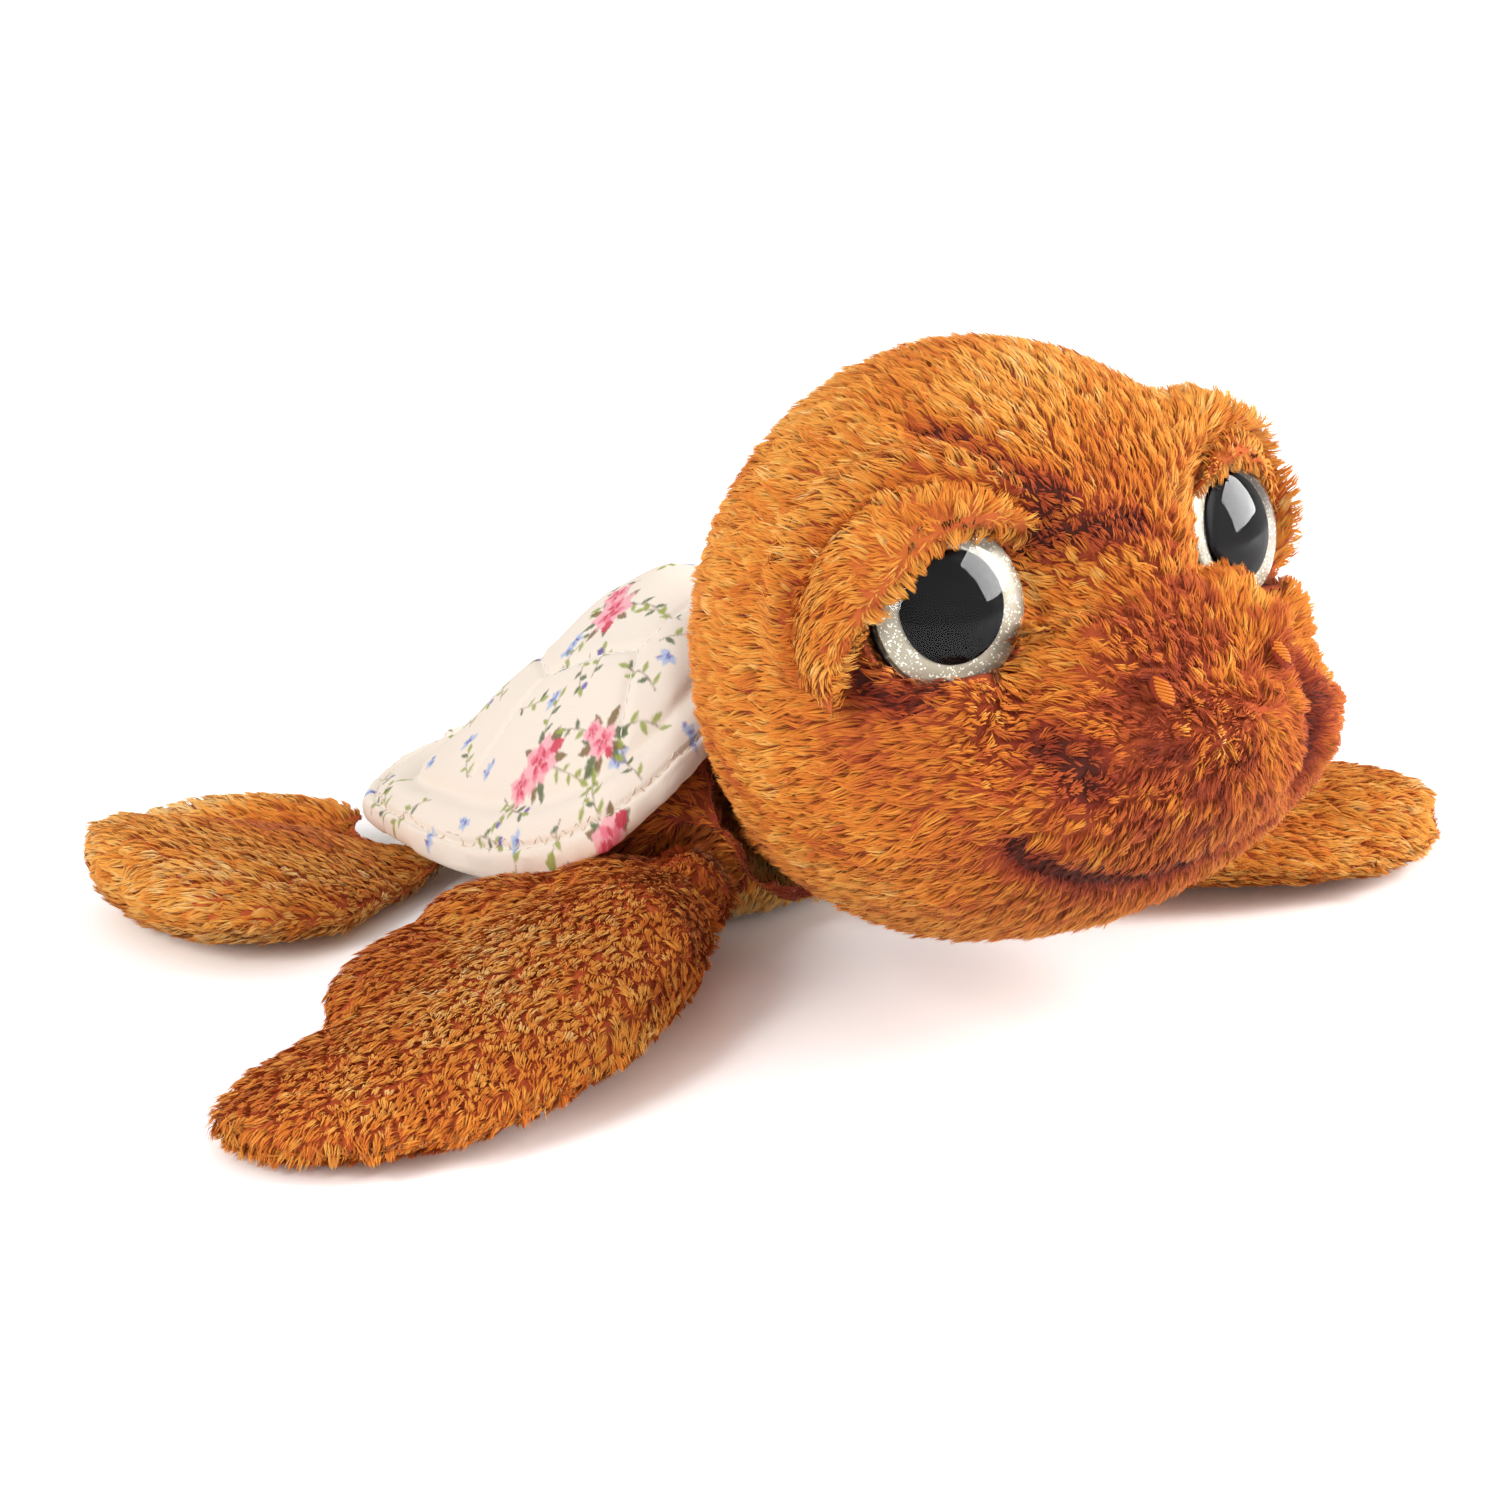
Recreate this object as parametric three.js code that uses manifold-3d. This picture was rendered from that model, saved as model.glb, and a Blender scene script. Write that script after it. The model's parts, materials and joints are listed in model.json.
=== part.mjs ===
// A plush sea turtle that lies on its belly: stuffed head on a swivelling neck, quilted shell,
// four stuffed flippers. Millimetres, +Z up. It faces -Y, so its right side is at -X.
// The origin lies on the flat of the belly.
import * as THREE from "three";
import { mergeVertices } from "three/addons/utils/BufferGeometryUtils.js";
import Module from "manifold-3d";

const wasm = await Module();
wasm.setup();

// Driving dimensions, all in millimetres unless the name says otherwise.
const TOUCH_GAP = 0.3;
const REST_CUT = 0.5;
const PLUSH_THICKNESS = 2.6;
const COTTON_THICKNESS = 1.6;
const CUT_OVERRUN = 60;

const HEAD_RADIUS = 52;
const HEAD_FORWARD = 57;
const HEAD_HEIGHT = 64;
const HEAD_BLEND = 5;
const HEAD_PLAY = 5;
const JAW_SEAM_FRONT_HEIGHT = 44;
const JAW_SEAM_BACK_HEIGHT = 32;

const NECK_FORWARD = 22;
const NECK_HEIGHT = 30;
const NECK_RADIUS = 21;
const NECK_BORE = 11;

const EYE_DIAMETER = 26;
const EYE_SPACING = 66;
const EYE_FORWARD = 80;
const EYE_HEIGHT = 82;
const EYE_DOME_HEIGHT = 8.5;
const EYE_CUP_DEPTH = 2;
const EYE_SHANK_DIAMETER = 6;
const EYE_SHANK_LENGTH = 14;
const IRIS_THICKNESS = 0.6;
const PUPIL_DIAMETER = 16.5;
const PUPIL_THICKNESS = 0.5;
const WASHER_DIAMETER = 17;
const WASHER_THICKNESS = 1.5;

const LID_RADIUS = 5.4;
const NOSTRIL_SPACING = 28;
const NOSTRIL_HEIGHT = 71;
const NOSTRIL_WIDTH = 5;
const NOSTRIL_LENGTH = 6.5;
const NOSTRIL_THICKNESS = 1.6;

const TORSO_HALF_WIDTH = 43;
const TORSO_LENGTH = 100;
const TORSO_TOP = 54;
const TORSO_CENTRE_BACK = 22;
const TORSO_BLEND = 7;
const BELLY_SEAM_HEIGHT = 12;
const POUCH_WIDTH = 60;
const POUCH_LENGTH = 52;
const POUCH_HEIGHT = 18;
const POUCH_BACK = 40;

const SHELL_HALF_WIDTH = 51;
const SHELL_CENTRE_BACK = 25;
const SHELL_CROWN_HEIGHT = 60;
const SHELL_RIM_ROLL = 2;
const BATTING_THICKNESS = 4.2;
const QUILT_DEPTH = 1.1;
const QUILT_WIDTH = 3.4;

const FRONT_FLIPPER = {
  length: 103,
  width: 56,
  thickness: 27,
  rootRadius: 10,
  rootFace: 5,
  rootHalfSpacing: 31,
  rootBack: -17,
  rootHeight: 14,
  restSwing: { right: 0, left: 24 },
  leadShares: [0.28, 0.48, 0.65, 0.72, 0.7, 0.57, 0.38, 0.22],
  trailShares: [-0.14, -0.24, -0.3, -0.24, -0.19, -0.15, -0.05, 0.05],
  topShares: [0.33, 0.41, 0.28, 0.12, -0.02, -0.1, -0.16, -0.22],
  bottomShares: [-0.35, -0.48, -0.6, -0.6, -0.6, -0.6, -0.55, -0.44],
};
const REAR_FLIPPER = {
  length: 72,
  width: 51,
  thickness: 22,
  rootRadius: 6,
  rootFace: 4,
  rootHalfSpacing: 35,
  rootBack: 45,
  rootHeight: 7,
  restSwing: { right: -25, left: -25 },
  leadShares: [0.14, 0.36, 0.66, 0.76, 0.72, 0.52, 0.3, 0.12],
  trailShares: [-0.14, -0.2, -0.26, -0.28, -0.28, -0.24, -0.16, -0.06],
  topShares: [0.02, 0.03, 0.27, 0.48, 0.6, 0.68, 0.62, 0.42],
  bottomShares: [-0.26, -0.32, -0.5, -0.5, -0.5, -0.3, -0.12, 0.08],
};
const STATION_SHARES = [0, 0.13, 0.33, 0.54, 0.72, 0.86, 0.96, 1];

// Shares of the head's radius, from its centre: where each swelling lies and how far it reaches.
const HEAD_BLOB_SHARES = [
  { at: [0, 0.06, 0], reach: [0.97, 0.86, 1] },
  { at: [0, -0.5, -0.2], reach: [0.76, 0.47, 0.43] },
  { at: [0, -0.77, -0.11], reach: [0.42, 0.36, 0.25] },
  { at: [0.52, -0.67, -0.18], reach: [0.31, 0.33, 0.31] },
  { at: [-0.52, -0.67, -0.18], reach: [0.31, 0.33, 0.31] },
  { at: [0, -0.36, -0.42], reach: [0.62, 0.5, 0.36] },
  { at: [0.52, -0.5, 0.42], reach: [0.42, 0.4, 0.3] },
  { at: [-0.52, -0.5, 0.42], reach: [0.42, 0.4, 0.3] },
  { at: [0.5, -0.36, -0.24], reach: [0.44, 0.5, 0.38] },
  { at: [-0.5, -0.36, -0.24], reach: [0.44, 0.5, 0.38] },
];
const EYE_NORMAL = new THREE.Vector3(0.28, -0.92, 0.27).normalize();
const SOCKET_BOWL_SHARE = 1.5;
const SOCKET_SIT_SHARE = 1.06;
const LID_ARC_DEGREES = { from: 10, to: 205 };
const LID_RING_SHARE = 1.12;
const LID_TAPER_SHARES = [0.45, 0.8, 1, 1.05, 1, 0.85, 0.5];

// Shares of the torso's half width, half length and height, from its centre.
const TORSO_BLOB_SHARES = [
  { at: [0, 0.04, 0.32], reach: [0.93, 0.9, 0.6] },
  { at: [0, -0.56, 0.42], reach: [0.62, 0.36, 0.32] },
  { at: [0, 0.1, 0.6], reach: [0.6, 0.5, 0.4] },
];

// The shell's outline, seen from its centre: angle from straight ahead in degrees, then the
// distance out as a share of the half width and the rim's height as a share of the crown's.
const SHELL_RIM_SHARES = [
  [0, 0.5, 0.8],
  [20, 0.72, 0.76],
  [36, 0.98, 0.66],
  [48, 1.1, 0.5],
  [60, 1.06, 0.36],
  [75, 1.01, 0.29],
  [90, 1, 0.25],
  [112, 1.06, 0.25],
  [131, 1.18, 0.23],
  [150, 1.15, 0.24],
  [180, 1.08, 0.27],
];
// Height between rim and crown, as shares of that rise, at equal steps from the centre out.
const SHELL_FRONT_RISE_SHARES = [1, 1, 0.99, 0.96, 0.9, 0.8, 0.62, 0.34, 0];
const SHELL_REAR_RISE_SHARES = [1, 0.93, 0.78, 0.6, 0.42, 0.24, 0.08, -0.02, 0];
// The rings of the shell's layers, out from its centre: the cover's, those of the layers under
// it, and those of the coarser room that the layers take out of the torso.
const SHELL_SEGMENTS = 28;
const COVER_GRID = { segments: SHELL_SEGMENTS, ringShares: [0, 0.2, 0.38, 0.56, 0.74, 0.91, 1] };
const INNER_GRID = { segments: SHELL_SEGMENTS, ringShares: [0, 0.2, 0.38, 0.56, 0.74, 0.91] };
const ROOM_GRID = { segments: SHELL_SEGMENTS / 2, ringShares: [0, 0.38, 0.74, 1, 1.5] };
const ROOM_SLACK = 0.9;
const SCUTE_INNER_SHARE = 0.38;
const SCUTE_OUTER_SHARE = 0.91;
const SCUTE_SPOKES = 7;

// How finely the curved pieces are cut up.
const HEAD_DETAIL = 4;
const HEAD_INNER_DETAIL = 3;
const TORSO_DETAIL = 3;
const TORSO_INNER_DETAIL = 2;
const FLIPPER_SEGMENTS = 5;
const ROLL_SIDES = 6;
const ROUND_SEGMENTS = 16;
const BALL_SEGMENTS = 14;
const BALL_RINGS = 6;
const ROOT_BALL_SEGMENTS = 8;
const ROOT_BALL_RINGS = 6;
const SEARCH_STEPS = 90;
const BISECTIONS = 22;

const headCentre = new THREE.Vector3(0, -HEAD_FORWARD, HEAD_HEIGHT);
const neckCentre = new THREE.Vector3(0, -NECK_FORWARD, NECK_HEIGHT);
const torsoCentre = new THREE.Vector3(0, TORSO_CENTRE_BACK, 0);
const eyeRadius = EYE_DIAMETER / 2;

// Solids in and out of the joining and cutting library.
function solidOf(geometry) {
  const merged = mergeVertices(positionsOnly(geometry));
  return new wasm.Manifold(
    new wasm.Mesh({
      numProp: 3,
      vertProperties: new Float32Array(merged.attributes.position.array),
      triVerts: new Uint32Array(merged.index.array),
    }),
  );
}

function positionsOnly(geometry) {
  const bare = geometry.clone();
  for (const name of Object.keys(bare.attributes)) {
    if (name !== "position") bare.deleteAttribute(name);
  }
  return bare;
}

function geometryOf(solid) {
  const mesh = solid.getMesh();
  const geometry = new THREE.BufferGeometry();
  geometry.setAttribute("position", new THREE.BufferAttribute(mesh.vertProperties, 3));
  geometry.setIndex(new THREE.BufferAttribute(mesh.triVerts, 1));
  return geometry;
}

function cut(solid, ...cutters) {
  return cutters.reduce((left, cutter) => left.subtract(cutter), solid);
}

// A block that fills everything above or below a plane tilted along Y.
function slantedBlock(frontHeight, backHeight, above) {
  const slope = Math.atan2(backHeight - frontHeight, 2 * HEAD_RADIUS);
  const size = 2 * CUT_OVERRUN + 2 * HEAD_RADIUS;
  const block = new THREE.BoxGeometry(size, 2 * size, size);
  const up = above ? 1 : -1;
  block.translate(0, 0, (up * size) / 2);
  block.rotateX(slope);
  block.translate(0, -HEAD_FORWARD, (frontHeight + backHeight) / 2);
  return solidOf(block);
}

function floorBlock() {
  const size = 4 * CUT_OVERRUN;
  const block = new THREE.BoxGeometry(size * 2, size * 2, size);
  block.translate(0, 0, -size / 2);
  return solidOf(block);
}

// Swollen forms: a smooth union of ellipsoids, found along rays from a centre inside it.
function ellipsoidDistance(point, blob) {
  const scaled = point.clone().sub(blob.centre).divide(blob.reach);
  const away = scaled.length();
  const steep = scaled.clone().divide(blob.reach).length();
  if (steep === 0) return -Math.min(blob.reach.x, blob.reach.y, blob.reach.z);
  return (away * (away - 1)) / steep;
}

function smoothUnion(distances, blend) {
  return -blend * Math.log(distances.reduce((sum, d) => sum + Math.exp(-d / blend), 0));
}

function blobsFrom(shares, centre, unit) {
  return shares.map(({ at, reach }) => ({
    centre: new THREE.Vector3(...at).multiply(unit).add(centre),
    reach: new THREE.Vector3(...reach).multiply(unit),
  }));
}

function starSolid(field, centre, reach, detail, level) {
  const geometry = mergeVertices(positionsOnly(new THREE.IcosahedronGeometry(1, detail)));
  const position = geometry.attributes.position;
  const direction = new THREE.Vector3();
  const point = new THREE.Vector3();
  const outside = (t) => field(point.copy(direction).multiplyScalar(t).add(centre)) > level;
  for (let i = 0; i < position.count; i++) {
    direction.fromBufferAttribute(position, i).normalize();
    let far = reach / SEARCH_STEPS;
    while (!outside(far) && far < reach) far += reach / SEARCH_STEPS;
    let near = far - reach / SEARCH_STEPS;
    for (let step = 0; step < BISECTIONS; step++) {
      const middle = (near + far) / 2;
      if (outside(middle)) far = middle;
      else near = middle;
    }
    point.copy(direction).multiplyScalar(near).add(centre);
    position.setXYZ(i, point.x, point.y, point.z);
  }
  return solidOf(geometry);
}

function ballSolid(centre, radius, segments, rings) {
  const ball = new THREE.SphereGeometry(radius, segments, rings).rotateX(Math.PI / 2);
  return solidOf(ball.translate(centre.x, centre.y, centre.z));
}

// The room that a ball turns in: its flat facets lie outside the ball, so none rubs on it, and
// the corners round the ball's middle face the middles of the room's facets.
function ballRoom(centre, radius, segments, rings) {
  const facet = Math.cos(Math.PI / segments) * Math.cos(Math.PI / (2 * (rings + 1)));
  const reach = (radius + TOUCH_GAP / 2) / facet;
  const room = new THREE.SphereGeometry(reach, segments, rings + 1).rotateX(Math.PI / 2);
  room.rotateZ(Math.PI / segments);
  return solidOf(room.translate(centre.x, centre.y, centre.z));
}

function neckBall(radius) {
  return ballSolid(neckCentre, radius, BALL_SEGMENTS, BALL_RINGS);
}

function neckRoom() {
  return ballRoom(neckCentre, NECK_RADIUS, BALL_SEGMENTS, BALL_RINGS);
}

// Head: the fields and the two eye sockets that are pressed into them.
function eyeCentre(side) {
  return new THREE.Vector3((side * EYE_SPACING) / 2, -EYE_FORWARD, EYE_HEIGHT);
}

function eyeNormal(side) {
  return new THREE.Vector3(side * EYE_NORMAL.x, EYE_NORMAL.y, EYE_NORMAL.z);
}

const headUnit = new THREE.Vector3(HEAD_RADIUS, HEAD_RADIUS, HEAD_RADIUS);
const headBlobs = blobsFrom(HEAD_BLOB_SHARES, headCentre, headUnit);
const bowlRadius = eyeRadius * SOCKET_BOWL_SHARE;
const bowlCentres = [-1, 1].map((side) =>
  eyeCentre(side).addScaledVector(eyeNormal(side), bowlRadius * SOCKET_SIT_SHARE - EYE_CUP_DEPTH),
);

function headField(point) {
  const swollen = smoothUnion(
    headBlobs.map((blob) => ellipsoidDistance(point, blob)),
    HEAD_BLEND,
  );
  const bowls = bowlCentres.map((centre) => point.distanceTo(centre) - bowlRadius);
  return -smoothUnion([-swollen, ...bowls], HEAD_BLEND / 2);
}

function headForm(level, detail) {
  return starSolid(headField, headCentre, HEAD_RADIUS * 2, detail, level);
}

// Moves a solid that was made round +Z so that it looks out of an eye.
function placeAtEye(geometry, side, offset) {
  const turn = new THREE.Quaternion().setFromUnitVectors(
    new THREE.Vector3(0, 0, 1),
    eyeNormal(side),
  );
  geometry.translate(0, 0, offset);
  geometry.applyQuaternion(turn);
  const centre = eyeCentre(side);
  return geometry.translate(centre.x, centre.y, centre.z);
}

function discGeometry(radius, low, high) {
  const disc = new THREE.CylinderGeometry(radius, radius, high - low, ROUND_SEGMENTS);
  return disc.rotateX(Math.PI / 2).translate(0, 0, (low + high) / 2);
}

function eyeDisc(side, radius, low, high) {
  return solidOf(placeAtEye(discGeometry(radius, low, high), side, 0));
}

const skinBehindEye = -EYE_CUP_DEPTH - TOUCH_GAP;
const washerTop = skinBehindEye - PLUSH_THICKNESS - 2 * TOUCH_GAP;
const shankRadius = EYE_SHANK_DIAMETER / 2;

function headSkinSolid() {
  const outer = headForm(0, HEAD_DETAIL);
  let inner = headForm(-PLUSH_THICKNESS, HEAD_INNER_DETAIL);
  let skin = outer;
  for (const side of [-1, 1]) {
    const wall = eyeRadius + TOUCH_GAP + PLUSH_THICKNESS;
    inner = inner.subtract(
      eyeDisc(side, wall, skinBehindEye - PLUSH_THICKNESS, CUT_OVERRUN),
    );
    skin = skin.subtract(eyeDisc(side, eyeRadius + TOUCH_GAP, skinBehindEye, CUT_OVERRUN));
    skin = skin.subtract(eyeDisc(side, shankRadius + TOUCH_GAP, -EYE_SHANK_LENGTH, 0));
  }
  return cut(skin, inner, neckRoom());
}

function headFillSolid() {
  let fill = headForm(-PLUSH_THICKNESS - 2 * TOUCH_GAP, HEAD_INNER_DETAIL);
  for (const side of [-1, 1]) {
    const wall = eyeRadius + PLUSH_THICKNESS + 2 * TOUCH_GAP;
    const shelf = skinBehindEye - PLUSH_THICKNESS - TOUCH_GAP;
    fill = fill.subtract(eyeDisc(side, wall, shelf, CUT_OVERRUN));
    const well = WASHER_DIAMETER / 2 + TOUCH_GAP;
    fill = fill.subtract(eyeDisc(side, well, -EYE_SHANK_LENGTH - TOUCH_GAP, 0));
  }
  return fill.subtract(neckRoom());
}

function upperHeadSkin(skin) {
  const low = JAW_SEAM_FRONT_HEIGHT;
  const back = JAW_SEAM_BACK_HEIGHT;
  return skin.subtract(slantedBlock(low + TOUCH_GAP / 2, back + TOUCH_GAP / 2, false));
}

function jawSkin(skin) {
  const low = JAW_SEAM_FRONT_HEIGHT;
  const back = JAW_SEAM_BACK_HEIGHT;
  return skin.subtract(slantedBlock(low - TOUCH_GAP / 2, back - TOUCH_GAP / 2, true));
}

// Eyes: a black cup with its shank, a printed iris, a pupil, a clear dome, a washer inside.
const irisLow = TOUCH_GAP;
const irisHigh = irisLow + IRIS_THICKNESS;
const pupilLow = irisHigh + TOUCH_GAP;
const pupilHigh = pupilLow + PUPIL_THICKNESS;

function eyeCupSolid(side) {
  const profile = [
    [0, -EYE_SHANK_LENGTH],
    [shankRadius, -EYE_SHANK_LENGTH],
    [shankRadius, -EYE_CUP_DEPTH],
    [eyeRadius, -EYE_CUP_DEPTH],
    [eyeRadius, 0],
    [0, 0],
  ];
  return solidOf(placeAtEye(latheAroundZ(profile, ROUND_SEGMENTS), side, 0));
}

function eyeLensSolid(side) {
  const wall = EYE_CUP_DEPTH / 2;
  const dome = [];
  const steps = FLIPPER_SEGMENTS - 1;
  for (let i = 0; i <= steps; i++) {
    const angle = (Math.PI / 2) * (i / steps);
    const base = TOUCH_GAP + wall / 2;
    dome.push([
      eyeRadius * Math.cos(angle),
      base + (EYE_DOME_HEIGHT - base) * Math.sin(angle),
    ]);
  }
  dome[steps][0] = 0;
  const roof = pupilHigh + TOUCH_GAP;
  const recess = eyeRadius - wall;
  const profile = [[0, roof], [recess, roof], [recess, TOUCH_GAP], [eyeRadius, TOUCH_GAP], ...dome];
  return solidOf(placeAtEye(latheAroundZ(profile, ROUND_SEGMENTS), side, 0));
}

function latheAroundZ(profile, segments) {
  const points = profile.map(([radius, height]) => new THREE.Vector2(radius, height));
  return new THREE.LatheGeometry(points, segments).rotateX(Math.PI / 2);
}

function washerSolid(side) {
  const low = washerTop - WASHER_THICKNESS;
  const outer = eyeDisc(side, WASHER_DIAMETER / 2, low, washerTop);
  return outer.subtract(
    eyeDisc(side, shankRadius + TOUCH_GAP, low - WASHER_THICKNESS, washerTop + WASHER_THICKNESS),
  );
}

// Lofts: rings of points joined one after another, closed at both ends.
function loftSolid(rings) {
  const around = rings[0].length;
  const points = rings.flat();
  const faces = [];
  for (let i = 0; i + 1 < rings.length; i++) {
    for (let j = 0; j < around; j++) {
      const a = i * around + j;
      const b = i * around + ((j + 1) % around);
      faces.push(a, b, b + around, a, b + around, a + around);
    }
  }
  const first = points.length;
  points.push(middleOf(rings[0]), middleOf(rings[rings.length - 1]));
  const last = (rings.length - 1) * around;
  for (let j = 0; j < around; j++) {
    const next = (j + 1) % around;
    faces.push(first, next, j, first + 1, last + j, last + next);
  }
  return outwardSolid(points, faces);
}

function middleOf(ring) {
  return ring.reduce((sum, p) => sum.add(p), new THREE.Vector3()).divideScalar(ring.length);
}

function outwardSolid(points, faces) {
  const geometry = new THREE.BufferGeometry().setFromPoints(points);
  geometry.setIndex(faces);
  const solid = solidOf(geometry);
  if (solid.volume() > 0) return solid;
  const turned = faces.map((_, i) => faces[i - (i % 3) + (2 - (i % 3))]);
  geometry.setIndex(turned);
  return solidOf(geometry);
}

// The padded upper lid: a tapered roll round the top of the eye, laid on the head.
function eyelidSolid(side, headRoom) {
  const normal = eyeNormal(side);
  const across = new THREE.Vector3(0, 0, 1).cross(normal).normalize().multiplyScalar(-side);
  const upward = normal.clone().cross(across).multiplyScalar(-side);
  const rings = LID_TAPER_SHARES.map((taper, i) => {
    const turn = i / (LID_TAPER_SHARES.length - 1);
    const { from, to } = LID_ARC_DEGREES;
    const angle = THREE.MathUtils.degToRad(from + (to - from) * turn);
    const outward = across
      .clone()
      .multiplyScalar(Math.cos(angle))
      .addScaledVector(upward, Math.sin(angle));
    const centre = eyeCentre(side)
      .addScaledVector(outward, eyeRadius * LID_RING_SHARE)
      .addScaledVector(normal, EYE_DOME_HEIGHT / 2);
    return ringAround(centre, outward, normal, LID_RADIUS * taper);
  });
  const room = eyeDomeRoom(side);
  return cut(loftSolid(rings), headRoom, room);
}

function ringAround(centre, sideways, forwards, radius) {
  const ring = [];
  for (let j = 0; j < ROLL_SIDES; j++) {
    const angle = (2 * Math.PI * j) / ROLL_SIDES;
    ring.push(
      centre
        .clone()
        .addScaledVector(sideways, radius * Math.cos(angle))
        .addScaledVector(forwards, radius * Math.sin(angle)),
    );
  }
  return ring;
}

// The space that the eye fills, with the touching gap round it.
function eyeDomeRoom(side) {
  const radius = eyeRadius + 3 * TOUCH_GAP;
  const room = new THREE.SphereGeometry(radius, ROUND_SEGMENTS, BALL_RINGS);
  room.scale(1, 1, (EYE_DOME_HEIGHT + 3 * TOUCH_GAP) / radius);
  const body = eyeDisc(side, radius, skinBehindEye, TOUCH_GAP);
  return solidOf(placeAtEye(room, side, 0)).add(body);
}

// Nostril stitching: a small oval pad laid on the muzzle.
function nostrilSolid(side, headRoom) {
  const start = new THREE.Vector3((side * NOSTRIL_SPACING) / 2, headCentre.y, NOSTRIL_HEIGHT);
  const point = start.clone();
  while (headField(point) < 0) point.y -= TOUCH_GAP;
  const normal = fieldNormal(headField, point);
  const pad = new THREE.SphereGeometry(1, ROUND_SEGMENTS / 2, ROUND_SEGMENTS / 2);
  pad.scale(NOSTRIL_WIDTH / 2, NOSTRIL_LENGTH / 2, NOSTRIL_THICKNESS);
  const turn = new THREE.Quaternion().setFromUnitVectors(new THREE.Vector3(0, 0, 1), normal);
  pad.applyQuaternion(turn).translate(point.x, point.y, point.z);
  return solidOf(pad).subtract(headRoom);
}

function fieldNormal(field, point) {
  const step = TOUCH_GAP;
  const slope = (axis) => {
    const shift = new THREE.Vector3().setComponent(axis, step);
    return field(point.clone().add(shift)) - field(point.clone().sub(shift));
  };
  return new THREE.Vector3(slope(0), slope(1), slope(2)).normalize();
}

// Neck: a plush band round a stuffed ball, which both the head and the chest turn on.
function neckBandSolid() {
  const toHead = headCentre.clone().sub(neckCentre).normalize();
  const bore = new THREE.CylinderGeometry(NECK_BORE, NECK_BORE, 2 * CUT_OVERRUN, BALL_SEGMENTS / 2);
  const turn = new THREE.Quaternion().setFromUnitVectors(new THREE.Vector3(0, 1, 0), toHead);
  bore.applyQuaternion(turn).translate(neckCentre.x, neckCentre.y, neckCentre.z);
  return cut(
    neckBall(NECK_RADIUS),
    neckBall(NECK_RADIUS - PLUSH_THICKNESS),
    solidOf(bore),
  );
}

// Shell: heights on a round grid, from a ring of rim places and a rise towards the crown.
function rimAt(angle) {
  const degrees = Math.abs(THREE.MathUtils.radToDeg(angle));
  const next = SHELL_RIM_SHARES.findIndex(([at]) => at >= degrees);
  const high = SHELL_RIM_SHARES[Math.max(next, 1)];
  const low = SHELL_RIM_SHARES[Math.max(next, 1) - 1];
  const mix = smoothStep((degrees - low[0]) / (high[0] - low[0]));
  return {
    out: SHELL_HALF_WIDTH * THREE.MathUtils.lerp(low[1], high[1], mix),
    height: SHELL_CROWN_HEIGHT * THREE.MathUtils.lerp(low[2], high[2], mix),
  };
}

function smoothStep(t) {
  const held = Math.min(Math.max(t, 0), 1);
  return held * (1 + held * (1 - held) * (2 * held - 1));
}

function riseAt(angle, out) {
  const rear = (1 - Math.cos(angle)) / 2;
  const place = out * (SHELL_FRONT_RISE_SHARES.length - 1);
  const i = Math.min(Math.floor(place), SHELL_FRONT_RISE_SHARES.length - 2);
  const pick = (table) => THREE.MathUtils.lerp(table[i], table[i + 1], place - i);
  return THREE.MathUtils.lerp(pick(SHELL_FRONT_RISE_SHARES), pick(SHELL_REAR_RISE_SHARES), rear);
}

function shellPoint(angle, out) {
  const rim = rimAt(angle);
  const rise = (SHELL_CROWN_HEIGHT - rim.height) * riseAt(angle, out);
  return new THREE.Vector3(
    rim.out * out * Math.sin(angle),
    SHELL_CENTRE_BACK - rim.out * out * Math.cos(angle),
    rim.height + rise,
  );
}

// How far a place on the shell is pulled down by the quilting that outlines its scutes.
function quiltDip(angle, out) {
  const fromRing = Math.abs(out - SCUTE_INNER_SHARE) * SHELL_HALF_WIDTH;
  const spokeStep = (2 * Math.PI) / SCUTE_SPOKES;
  const toSpoke = Math.abs(angle / spokeStep - Math.round(angle / spokeStep)) * spokeStep;
  const between = out > SCUTE_INNER_SHARE && out < SCUTE_OUTER_SHARE;
  const fromSpoke = between ? toSpoke * out * SHELL_HALF_WIDTH : CUT_OVERRUN;
  const fromEdge = Math.abs(out - SCUTE_OUTER_SHARE) * SHELL_HALF_WIDTH;
  const nearest = Math.min(fromRing, fromSpoke, fromEdge);
  return QUILT_DEPTH * Math.exp(-((nearest / QUILT_WIDTH) ** 2));
}

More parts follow.
